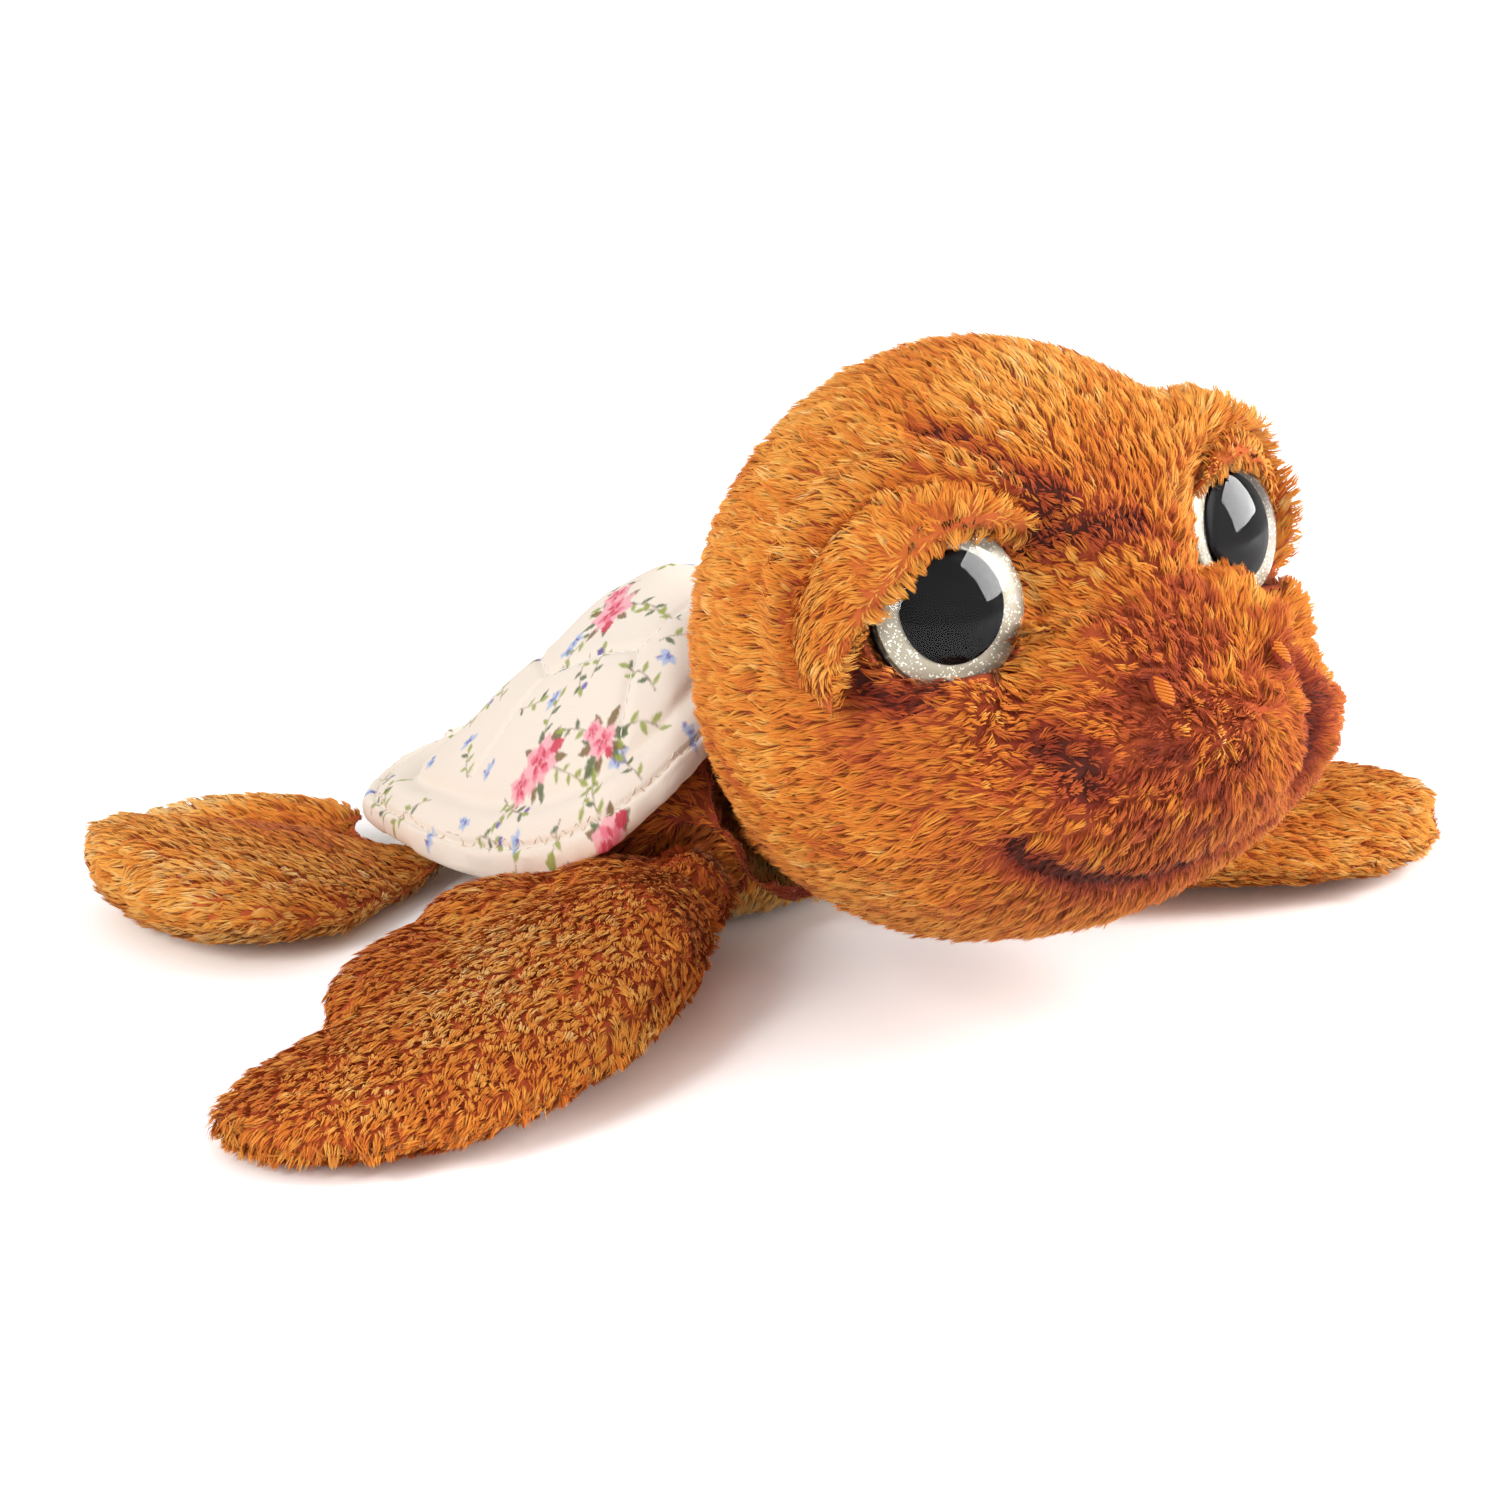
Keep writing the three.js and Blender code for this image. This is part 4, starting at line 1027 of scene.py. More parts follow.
# %% [markdown]
# ## Nap, length and tone of the head
# The nap runs away from the tip of the nose, as on a real animal, so it sweeps up over the
# brow, back over the cheeks and down to the jaw. The pile is handled most at the muzzle,
# where it is redder and curls, and it is clipped short in the creases so that they show.

# %% Comb and tint the head
NOSE = np.array([7, -119, 68]) * MM
MUZZLE_FRONT = np.array([4, -115, 64]) * MM
HEAD_LONG = 3.9
# Places and half widths in millimetres of the worn patches, and how much redder they are.
WORN_PATCHES = {
    "nose": ([(-4, -112, 70)], 24, 0.13),
    "lip": ([(-12, -112, 52)], 18, 0.12),
    "cheeks": ([(-46, -85, 62), (46, -85, 62)], 12, 0.12),
    "bridge": ([(0, -104, 86)], 20, 0.06),
    "nostrils": ([(-14, -108, 71), (14, -108, 71)], 5, 0.16),
}
MOTTLED_PATCHES = ("nose", "lip", "bridge")


def near(points, place, size):
    """1 at a place in metres, falling off softly over size millimetres."""
    return bell(np.linalg.norm(points - np.asarray(place), axis=1), 0, size * MM)


def share_between(values, start, end):
    """0 up to a start in millimetres and 1 from an end on, with values in metres."""
    return np.clip((values - start * MM) / ((end - start) * MM), 0, 1)


def head_nap(points, facing):
    away = unit(points - NOSE)
    curl = np.clip(near(points, MUZZLE_FRONT, 11), 0, 0.5)[:, None]
    loose = np.stack([mottle(points, 3.4, 90 + k) for k in range(3)], axis=1)
    return away * (1 - curl) + loose * curl


def head_long(points):
    """Strand length over the head, shorter in the creases so that they show."""
    short = np.zeros(len(points))
    for paths, _, wide, red in CREASES.values():
        short = np.maximum(short, red * 2.2 * bell(distance_to(points, paths), 0, wide * 1.3))
    front = share_between(-points[:, 1], 70, 100)
    return HEAD_LONG - 0.5 * front - 3.0 * np.minimum(short, 0.45)


def head_tone(points):
    """Golden on the crown, redder low in front and in the worn patches, with painted shade along the creases
    and the lid line.
    """
    crown = share_between(points[:, 2], 60, 110)
    back = share_between(points[:, 1], -100, -40)
    low_front = (1 - crown) * share_between(-points[:, 1], 78, 104)
    base = 0.70 + 0.04 * crown + 0.03 * back - 0.05 * low_front
    grain = 0.14 * mottle(points, 3.2, 6)
    for label, (places, size, red) in WORN_PATCHES.items():
        cover = sum(near(points, np.array(place) * MM, size) for place in places)
        base = base - red * cover
        if label in MOTTLED_PATCHES:
            base = base - grain * cover
    # Painted shade: the pile is darker and redder along the creases and the lid line.
    for paths, _, wide, red in CREASES.values():
        base = base - 1.5 * red * bell(distance_to(points, paths), 0, wide * 1.2)
    base = base - LID_PAINTED_SHADE * bell(distance_to(points, both(lid_line)), 0, LID_PAINTED_SHADE_WIDE)
    return base + 0.06 * mottle(points, 16, 3) + 0.04 * mottle(points, 5, 4)


print("tone at the nose:", round(float(head_tone(NOSE[None, :])[0]), 2))

# %% [markdown]
# ## The pile of the head
# The head grows in two halves, which keeps each mesh at a handy size. No strand roots under
# an eye, and none leans over its clear dome.

# %% Grow it in two halves
HALF_Y = -62 * MM
ROOTS_OFF_EYE = 11.4
TIPS_OFF_EYE = 10.8


def from_eye(points, side):
    """Points seen from an eye: the way out from its axis and the degrees from the nose
    upwards, then the distance from the axis and the height along it in millimetres."""
    centre, axis, inwards, upwards = eye_frame(side)
    off = points - centre
    height = off @ axis
    out = off - height[:, None] * axis
    degrees = np.degrees(np.arctan2(out @ upwards, out @ inwards)) % 360
    return out, degrees, np.linalg.norm(out, axis=1) / MM, height / MM


def near_an_eye(points, reach, low):
    """True for points within reach of an eye's axis and above a height, in millimetres."""
    found = np.zeros(len(points), bool)
    for side in EYES:
        out, degrees, radius, height = from_eye(points, side)
        found |= (radius < reach) & (height > low)
    return found


def over_an_eye(points):
    return near_an_eye(points, TIPS_OFF_EYE, -2)


def front_half(points, facing):
    """Where strands root in front: off the eyes, and thinner in the mouth and the bags."""
    parted = np.exp(-((distance_to(points, CREASES["mouth"][0]) / 1.2) ** 4))
    fold = bell(distance_to(points, CREASES["bag"][0]), 0, 1.5)
    free = (points[:, 1] < HALF_Y) & ~near_an_eye(points, ROOTS_OFF_EYE, -16)
    return free * (1 - 0.4 * parted) * (1 - 0.5 * fold)


def back_half(points, facing):
    return (points[:, 1] >= HALF_Y).astype(float)


head.data.materials.append(head_backing)
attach(head, "head")
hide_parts("head_plush", "jaw_panel", "head_fill")
for label, half_of_head, seed in (("head_pile_front", front_half, 11), ("head_pile_back", back_half, 12)):
    fur = grow_pile(label, head, "head", DENSITY, head_long, head_nap, head_tone, half_of_head,
                    seed=seed, clear=over_an_eye)

# %% [markdown]
# ## Eyelids
# A rolled strip of plush hangs over the upper half of each eye and gives the turtle its
# sleepy look. A bent torus would be quick, but the lid is thick over the outer corner and
# thin at the nose. So a pad is lofted between two edges: the free one, from a table round the
# eye, and the seam, which is the lid line of the head.

# %% Loft the eyelid pads
# Degrees round the eye from the nose upwards, then the free edge's distance out and height
# above the eye's rim, and half the thickness of the pad, in millimetres.
LID_SECTIONS = np.array([
    (28, 15.0, 2.0, 0.6),
    (40, 13.4, 3.6, 2.0),
    (60, 11.0, 5.6, 3.0),
    (90, 9.4, 6.6, 3.6),
    (120, 9.2, 6.8, 4.0),
    (150, 10.2, 6.0, 4.2),
    (172, 13.2, 4.0, 4.2),
    (190, 17.5, 1.2, 3.6),
    (204, 21.5, -1.6, 2.2),
    (212, 23.5, -3.0, 0.6),
])
UNDERSIDE = 0.8


def lid_pad(side, sides=20, steps=60, room=1.0):
    """A padded lid lofted from its free edge over the eye to its seam on the head."""
    centre, axis, inwards, upwards = eye_frame(side)
    degrees = np.linspace(LID_SECTIONS[0, 0], LID_SECTIONS[-1, 0], steps)
    inner, height, half = (np.interp(degrees, LID_SECTIONS[:, 0], LID_SECTIONS[:, k]) for k in (1, 2, 3))
    seam = lid_line if side == "right" else lid_line * MIRROR
    off = seam - centre
    seam_degrees = np.degrees(np.arctan2(off @ upwards, off @ inwards)) % 360
    order = np.argsort(seam_degrees)
    far = np.stack([np.interp(degrees, seam_degrees[order], seam[order, k]) for k in range(3)], axis=1)
    rings = []
    for k in range(steps):
        angle = math.radians(degrees[k])
        out = inwards * math.cos(angle) + upwards * math.sin(angle)
        free = centre + (out * (inner[k] + room) + axis * height[k]) * MM
        middle = (free + far[k]) / 2
        across = (far[k] - free) / 2
        rise = unit(unit(middle - HEAD_MIDDLE) + axis)
        rise = unit(rise - unit(across) * (rise @ unit(across)))
        thick = max(half[k] - room, 0.4)
        ring = []
        for j in range(sides):
            turn = 2 * math.pi * j / sides
            bulge = math.sin(turn) * thick * (1.0 if math.sin(turn) > 0 else UNDERSIDE)
            ring.append(middle + across * math.cos(turn) + rise * bulge * MM)
        rings.append(ring)
    bm = bmesh.new()
    add_tube(bm, rings)
    bmesh.ops.recalc_face_normals(bm, faces=bm.faces)
    return soften(piece("eyelid_pad_" + side, mesh_of(bm, "eyelid_pad_" + side)), 4)


lids = {side: lid_pad(side) for side in EYES}
print("faces of a lid:", len(lids["right"].data.polygons))

# %% [markdown]
# ## The pile of the lids
# On a lid the pile is combed off the free edge on both sides: outwards over the lid and
# down over the eye. It is shorter and more golden than on the brow.

# %% Grow the lids' pile


def lid_tone(points):
    return 0.74 + 0.06 * mottle(points, 8, 5)


for side, lid in lids.items():
    lid.data.materials.append(lid_backing)
    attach(lid, "head")
    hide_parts("eyelid_" + side)

    def lid_nap(points, facing, side=side):
        out, degrees, radius, height = from_eye(points, side)
        edge = np.interp(degrees, LID_SECTIONS[:, 0], LID_SECTIONS[:, 1]) + 2.6
        over = np.clip((radius - edge) / 1.2, -1, 1)[:, None]
        return unit(out) * over + np.array([0, 0, -0.25]) + EYE_WAYS[side] * 0.1

    def lid_keep(points, facing, side=side):
        out, degrees, radius, height = from_eye(points, side)
        return 1.0 - ((radius < 14) & (facing @ EYE_WAYS[side] < -0.1))

    fur = grow_pile("eyelid_pile_" + side, lid, "head", DENSITY * 1.3, 2.9, lid_nap, lid_tone,
                    lid_keep, seed=21, lean=(42, 14), tuft=1.4)

# %% [markdown]
# ## Body and neck
# Only slivers of these show: the cream belly between the flippers and the neck between the
# head and the shell. They get the same pile all the same, because the head turns and the toy
# can be lifted. No strand grows where the shell covers the body.

# %% Grow the body's and the neck's pile


def backwards_nap(points, facing):
    return np.tile([0.0, 1.0, -0.4], (len(points), 1))


def belly_tone(points):
    """Cream below and caramel above."""
    high = share_between(points[:, 2], 9, 18)
    return 0.9 - 0.36 * high + 0.04 * mottle(points, 10, 7)


def neck_tone(points):
    return 0.68 + 0.06 * mottle(points, 9, 8)


def not_under_shell(points, facing):
    hidden = (points[:, 2] > 22 * MM) & (points[:, 1] > 0)
    return np.where(hidden, 0.0, 1.0)


for obj, body, solids, filling, slot_name in (
    (torso, "torso", TORSO_SOLIDS, 0.6, "cream_plush"),
    (neck, "neck", NECK_SOLIDS, 0.7, "chestnut_plush"),
):
    obj.data.materials.append(plush_backing)
    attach(obj, body)
    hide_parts(*solids)
fur = grow_pile("torso_pile", torso, "torso", DENSITY, 3.6, backwards_nap, belly_tone,
                not_under_shell, seed=31)
fur = grow_pile("neck_pile", neck, "neck", DENSITY, 4.0, backwards_nap, neck_tone, seed=32)

# %% [markdown]
# ## Flippers
# A flipper is sewn to the body without a hard joint. Its skin and its pile stay where they are
# made and are not attached to a moving body; a point 24 mm out from the root is worked out, but
# nothing bends there. The nap runs from the root to the tip with a sweep to the trailing edge. Each flipper
# has its own lighter and darker places, with painted shade at the roots of the front ones and painted light
# at their elbows.

# %% Grow the flippers' pile
# The root of each flipper, which hand it is on and whether it is a front one.
FLIPPER_ROOTS = {
    "front_flipper_right": (np.array([-31, -17, 14]) * MM, -1, True),
    "front_flipper_left": (np.array([31, -17, 14]) * MM, 1, True),
    "rear_flipper_right": (np.array([-35, 45, 7]) * MM, -1, False),
    "rear_flipper_left": (np.array([35, 45, 7]) * MM, 1, False),
}
BEND_MM = 24
# How far out from the root, as a share of 100 mm, the painted shade of a front flipper reaches.
PAINTED_ROOT_SHADE_REACH = 0.17


def front_flipper_tone(points, root_at, hand):
    """Painted shade at the root and painted light at the elbow, and a little lighter on the left."""
    out = np.linalg.norm(points - root_at, axis=1) / (100 * MM)
    patch = near(points, root_at + np.array([20 * hand, 4, 0]) * MM, 13)
    painted_elbow_light = near(points, root_at + np.array([50 * hand, -8, 0]) * MM, 30)
    # Painted shade near the root and painted light over the elbow.
    painted_root_shade = 1.3 * np.clip(PAINTED_ROOT_SHADE_REACH - out, 0, PAINTED_ROOT_SHADE_REACH)
    grain = 0.09 * mottle(points, 15, 9) + 0.05 * mottle(points, 4, 13)
    return 0.69 + 0.04 * (hand > 0) + 0.04 * patch + 0.09 * painted_elbow_light - painted_root_shade + grain


def rear_flipper_tone(points, root_at, hand):
    """Golden, with a pale rim and a darker middle."""
    rim = share_between(points[:, 1], 74, 86)
    middle = near(points, root_at + np.array([28 * hand, 18, 4]) * MM, 17)
    grain = 0.07 * mottle(points, 12, 10) + 0.04 * mottle(points, 4, 15)
    return 0.83 + 0.13 * rim - 0.24 * middle + grain


for place, (root_at, hand, front) in FLIPPER_ROOTS.items():
    skin = flippers[place]
    slot_name = "chestnut_plush" if front else "golden_plush"
    skin.data.materials.append(flipper_backing)
    rows = coordinates(skin.data)
    far_end = rows[np.argmax(np.linalg.norm(rows - root_at, axis=1))]
    bend_end = root_at + unit(far_end - root_at) * BEND_MM * MM
    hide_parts(place + "_upper", place + "_under", place + "_fill", place + "_root")
    sweep = np.array([0.25 * hand, -0.55 if front else 0.55, -0.15])

    def flipper_nap(points, facing, root_at=root_at, sweep=sweep):
        curl = np.stack([mottle(points, 9, 70 + k) for k in range(3)], axis=1)
        return unit(points - root_at) + sweep + 0.28 * curl

    def flipper_tone(points, root_at=root_at, hand=hand, front=front):
        shade = front_flipper_tone if front else rear_flipper_tone
        return shade(points, root_at, hand)

    fur = grow_pile(place + "_pile", skin, None, DENSITY * 1.3, 3.5, flipper_nap,
                    flipper_tone, seed=41, lean=(40, 12))
    for soft in (skin, fur):
        place + "_base"
        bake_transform(soft)

# %% [markdown]
# ## Safety eyes
# Each eye is a turned plastic button: a black cup, a ring of glitter, a black pupil and a
# clear dome over them. A sphere with a painted pupil would lose the depth between the dome
# and the ring, so each part is turned from a profile, as a lathe would make it.

# %% Turn a part from its profile


def turned(name, profile, centre, axis, sides=96):
    """A closed turned piece from (radius, height) pairs in millimetres along an axis."""
    forward = Vector(axis)
    across = forward.orthogonal().normalized()
    up = forward.cross(across)
    rings = []
    for radius, height in profile:
        middle = Vector(centre) + forward * height * MM
        rings.append(circle(middle, across, up, radius, sides) if radius else [middle])
    bm = bmesh.new()
    add_tube(bm, rings)
    bmesh.ops.recalc_face_normals(bm, faces=bm.faces)
    mesh = mesh_of(bm, name)
    smooth_shaded(mesh)
    return piece(name, mesh)


DOME_RADIUS = 13
DOME_RISE = 8.2
DOME_FOOT = 0.3
dome_turns = [math.pi / 2 * k / 24 for k in range(1, 25)]
dome_curve = [(DOME_RADIUS * math.sin(t), DOME_FOOT + DOME_RISE * math.cos(t)) for t in dome_turns]
DOME = [(0, DOME_FOOT + DOME_RISE)] + dome_curve + [(0, DOME_FOOT)]
print("rings of the dome:", len(DOME))

# %% [markdown]
# ## The finishes of the eye
# The ring is silver-brown paint with fine flakes, the cup and the pupil are black plastic,
# and the dome is clear. The flakes are cells of a Voronoi texture, of which only about one
# in eight shines, and each plastic gets a faint grain so that its gloss isn't perfect.

# %% Mix the finishes of the eye


def glitter_finish():
    finish = Finish("eye_glitter_ring")
    place = finish.on_piece()
    flakes = finish.node("ShaderNodeTexVoronoi", output=1, Vector=place, Scale=4200.0)
    pick = finish.node("ShaderNodeSeparateColor", Color=flakes)
    bright = pick > 0.88
    haze = finish.noise(place, 260.0, 2.0)
    base = finish.mix(haze, rgb(128, 121, 104), rgb(166, 158, 140))
    colour = finish.mix(bright, base, rgb(232, 229, 216))
    return finish.set(Base_Color=colour, Roughness=0.42, Metallic=0.2)


def plain_gloss(name, colour, rough, gloss=0.5):
    finish = Finish(name)
    place = finish.on_piece()
    grain = finish.noise(place, 700.0, 3.0)
    relief = finish.bump(grain, 0.03, 0.0001)
    rough = (grain - 0.5) * 0.04 + rough
    return finish.set(Base_Color=colour, Roughness=rough, Specular_IOR_Level=gloss, Normal=relief)


def dome_finish():
    finish = Finish("eye_clear_dome")
    place = finish.on_piece()
    haze = finish.noise(place, 120.0, 2.0)
    return finish.set(Base_Color=(1, 1, 1, 1), Roughness=haze * 0.02, Transmission_Weight=1.0, IOR=1.24)


eye_black = plain_gloss("eye_black_plastic", rgb(7, 6, 7), 0.3, 0.02)
eye_glitter = glitter_finish()
eye_dome = dome_finish()
print("eye finishes: black, glitter and clear")

# %% [markdown]
# ## Put the eyes together
# The four parts of an eye stand on one axis. The profiles below give radius and height in
# millimetres, and a lock washer, which is a solid already, holds the eye from inside.

# %% Assemble the eyes
CUP = [(0, -1.5), (12.4, -1.5), (13.1, -0.6), (13.1, 0.0), (12.9, 0.25), (0, 0.25)]
RING = [(0, 0.3), (11.9, 0.3), (11.9, 0.7), (8, 0.95), (0, 1.0)]
PUPIL = [(0, 1.0), (8.1, 1.0), (8.25, 1.2), (8.1, 1.5), (6, 1.7), (0, 1.7)]
EYE_PARTS = [
    ("eye_cup", CUP, eye_black, "eye_black"),
    ("eye_iris", RING, eye_glitter, "eye_glitter"),
    ("eye_pupil", PUPIL, eye_black, "eye_black"),
    ("eye_lens", DOME, eye_dome, "eye_clear"),
]
for side in EYES:
    for part, profile, material, slot_name in EYE_PARTS:
        made = turned(part + "_turned_" + side, profile, EYES[side], EYE_WAYS[side])
        made.data.materials.append(material)
        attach(made, "head")
        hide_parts(part + "_" + side)
    washer = frame["nodes"]["eye_washer_" + side]
    washer.data.materials.clear()
    washer.data.materials.append(plain_gloss("washer_white_" + side, rgb(225, 224, 218), 0.45))
print("eye parts:", len(EYE_PARTS) * len(EYES))

# %% [markdown]
# ## Embroidered nostrils
# A nostril is worked in satin stitch: threads laid side by side over a small oval, in a
# darker red outline. A picture of stitches would look flat this close to the camera, so seven
# real threads are laid over the oval, each on the surface that a ray finds under it.

# %% Nostril thread
THREAD_RADIUS = 0.24
THREAD_GAP = 0.5
THREAD_ROWS = range(-3, 4)
OVAL_HALF = 1.45
NOSTRIL_BACK = np.array([0, -70, 66]) * MM
thread_orange = plain_gloss("nostril_orange_thread", rgb(216, 122, 40), 0.55, 0.3)
thread_red = plain_gloss("nostril_red_thread", rgb(140, 50, 30), 0.7, 0.2)
for side in ("right", "left"):
    ground = stuffed_skin("nostril_ground_" + side, ["nostril_" + side], 0.3, 4, 0.35, swell=0.0)
    ground.data.materials.append(thread_red)
    ground_tree = tree_of(ground)
    rows = coordinates(ground.data)
    middle = (rows.min(axis=0) + rows.max(axis=0)) / 2
    ahead = unit(middle - NOSTRIL_BACK)
    across = unit(np.cross(ahead, [0, 0, 1]))
    rise = np.cross(across, ahead)
    bm = bmesh.new()
    for k in THREAD_ROWS:
        level = middle + rise * k * THREAD_GAP * MM
        wide = OVAL_HALF * math.sqrt(1 - (k / 4) ** 2)
        path = []
        for share in np.linspace(-1, 1, 9):
            start = level + (across * share * wide + rise * share * 0.5) * MM + ahead * 6 * MM
            hit = ground_tree.ray_cast(Vector(start), Vector(-ahead))[0]
            if hit is not None:
                path.append(np.array(hit) + ahead * (0.12 - 0.2 * share ** 4) * MM)
        if len(path) > 3:
            bm.from_mesh(roll(path, [THREAD_RADIUS] * len(path), 8))
    mesh = mesh_of(bm, "nostril_satin_" + side)
    smooth_shaded(mesh)
    satin = piece("nostril_satin_" + side, mesh)
    mesh.materials.append(thread_orange)
    for made in (ground, satin):
        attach(made, "head")
    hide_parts("nostril_" + side)
    print("satin of the", side, "nostril:", len(mesh.polygons), "faces")

# %% [markdown]
# ## The quilted shell
# The shell is a pad of printed cotton round a batting. Its edge is rolled and top-stitched,
# and inside the edge runs a puffy brim with a crease where the dome begins. The pad comes
# from the solids by remeshing. It is cut up finely enough to hold the printed pattern in a
# colour layer, because small flowers are easier to draw with short functions than with nodes.

# %% Shape the pad
SHELL_APEX = np.array([0, 25, 60]) * MM
SHELL_SOLIDS = ["shell_cover", "shell_rim", "shell_batting", "shell_lining"]
shell = stuffed_skin("shell_pad", SHELL_SOLIDS, 1.7, 6, -0.2)


def shell_plan(rows):
    """Flattened places on the cotton, as an angle and a distance from the top in millimetres."""
    off = (rows - SHELL_APEX) / MM
    turn = np.arctan2(off[:, 1], off[:, 0])
    return turn, np.linalg.norm(off, axis=1)


def rim_distance(turn):
    """How far the rim is from the top at an angle, in millimetres."""
    return np.interp(turn, RIM_TURNS, RIM_REACH, period=2 * math.pi)


shell_rows = coordinates(shell.data)
shell_turn, shell_out = shell_plan(shell_rows)
RIM_TURNS = np.linspace(-math.pi, math.pi, 73)[:-1]
sectors = np.round((shell_turn + math.pi) / (2 * math.pi) * 72).astype(int) % 72
RIM_REACH = np.array([shell_out[sectors == k].max() for k in range(72)])
RIM_REACH = (np.roll(RIM_REACH, 1) + RIM_REACH + np.roll(RIM_REACH, -1)) / 3
print("rim reach:", round(float(RIM_REACH.min())), "to", round(float(RIM_REACH.max())), "mm")

# %% [markdown]
# ## Quilt the shell
# The quilting pulls the cotton down along a ring of scutes and the spokes from it, and the
# brim stands up round it, higher at the rear. The heights are added by distance from the
# rim, which keeps the brim even all round. Distances are in millimetres.

# %% Raise the brim and press the quilting
BRIM_CREASE = 13.0
BRIM_MIDDLE = 8.2
EDGE_SEAM = 4.4
SCUTE_RING = 0.44
SCUTE_SIDES = 7
SEAM_WIDE = 1.1
SPOKE_END = 0.76


def scute_lines(turn, out):
    """How near a place is to a quilting line, from 0 to 1."""
    share = out / rim_distance(turn)
    step = 2 * math.pi / SCUTE_SIDES
    local = (turn + math.pi / 2) % step - step / 2
    ring = SCUTE_RING * math.cos(step / 2) / np.cos(local)
    on_ring = bell((share - ring) * rim_distance(turn), 0, SEAM_WIDE)
    spoke = np.abs(np.abs(local) - step / 2) * out
    on_spoke = bell(spoke, 0, SEAM_WIDE) * (share > SCUTE_RING) * (share < SPOKE_END)
    return np.maximum(on_ring, on_spoke)


split = shell.modifiers.new("fine", "SUBSURF")
split.levels = 2
split.render_levels = 2
finished(shell)
shell_rows = coordinates(shell.data)
shell_ways = normals_of(shell.data)
shell_turn, shell_out = shell_plan(shell_rows)
from_rim = rim_distance(shell_turn) - shell_out
top_side = np.clip((shell_ways[:, 2] + 0.1) / 0.3, 0, 1)
rear = np.clip((shell_rows[:, 1] - 40 * MM) / (30 * MM), 0, 1)
rise = bell(from_rim, BRIM_MIDDLE, 3.0) * (0.8 + 0.9 * rear)
rise -= bell(from_rim, BRIM_CREASE, 2.0) * (1.0 + 0.8 * rear)
rise -= bell(from_rim, EDGE_SEAM, 0.55) * 0.75
rise -= scute_lines(shell_turn, shell_out) * 0.8 * (from_rim > BRIM_CREASE)
rise += 0.25 * mottle(shell_rows, 9, 61)
move_to(shell.data, shell_rows + shell_ways * (rise * top_side)[:, None] * MM)
print("pad has", len(shell.data.vertices), "points")

# %% [markdown]
# ## The floral print
# Cottage prints repeat a few small motifs: roses in two pinks, toothed leaves, thin vines
# with lighter leaves, and blue or violet sprigs. Each motif below is a short function that
# dyes the points of the cotton that lie within it, in the flattened plan of the shell.

# %% Inks and the cream ground
shell_rows = coordinates(shell.data)
shell_turn, shell_out = shell_plan(shell_rows)
plan = np.stack([np.cos(shell_turn) * shell_out, np.sin(shell_turn) * shell_out], axis=1)
shell_tree = tree_of(shell)


def ink(red, green, blue):
    return np.array(rgb(red, green, blue)[:3])


CREAM = ink(243, 230, 216)
ROSE_PALE = ink(246, 176, 186)
ROSE_MID = ink(233, 110, 136)
ROSE_DEEP = ink(205, 40, 78)
LEAF_GREEN = ink(74, 96, 52)
LEAF_BROWN = ink(120, 92, 44)
LEAF_LIGHT = ink(150, 162, 66)
VINE_BROWN = ink(112, 80, 58)
SPRIG_BLUE = ink(150, 180, 226)
SPRIG_VIOLET = ink(98, 76, 168)
EDGE_SOFT = 0.28
dyed = np.tile(CREAM, (len(plan), 1))
print("points to dye:", len(plan))

# %% [markdown]
# ## Petals, dots and stems
# All motifs come from three marks: a pointed oval, a dot and a thin bent stem. The edge of a
# mark is soft over about a quarter of a millimetre, as ink that has bled a little.

# %% Draw the three marks


def lay(close, cover, colour, strength=0.92):
    """Lays a colour over some points of the cotton where the cover is near one."""
    cover = (np.clip(cover, 0, 1) * strength)[:, None]
    dyed[close] = dyed[close] * (1 - cover) + cover * colour


def around(middle, reach):
    """The points within reach of a place of the plan, and their offsets."""
    off = plan - middle
    close = np.flatnonzero((np.abs(off[:, 0]) < reach) & (np.abs(off[:, 1]) < reach))
    return close, off[close]


def towards(turn):
    """A way of length one in the plan."""
    return np.array([math.cos(turn), math.sin(turn)])


def petal(middle, turn, long, wide, colour, wavy=0.0, strength=0.92):
    """One rounded petal or leaf that starts at a place and points along a turn."""
    close, off = around(middle, long + wide)
    along = off[:, 0] * math.cos(turn) + off[:, 1] * math.sin(turn)
    across = -off[:, 0] * math.sin(turn) + off[:, 1] * math.cos(turn)
    share = np.clip(along / long, 0, 1)
    half = wide / 2 * np.sin(np.pi * share ** 0.8) * (1 + wavy * np.sin(share * 21))
    inside = (half - np.abs(across)) / EDGE_SOFT + 0.4
    inside = np.where((along < 0) | (along > long), 0, inside)
    lay(close, inside, colour, strength)


def spot(middle, size, colour, strength=0.92):
    close, off = around(middle, size + 1)
    lay(close, (size / 2 - np.linalg.norm(off, axis=1)) / EDGE_SOFT + 0.4, colour, strength)


def vine(middle, turn, long, bend, colour, thick=0.42, step=0.5):
    """A thin bent stem. It gives back the places and turns along it."""
    stops = []
    place = np.array(middle, float)
    for _ in range(int(long / step)):
        spot(place, thick, colour, 0.8)
        stops.append((place.copy(), turn))
        place = place + step * towards(turn)
        turn += bend * step
    return stops


print("marks: petal, spot and vine")

# %% [markdown]
# ## Roses, sprigs and bouquets
# A rose has a ring of ragged pale petals, a mid ring and a deep curled heart. Small random
# turns and sizes keep two roses from being alike.

# %% Draw the motifs


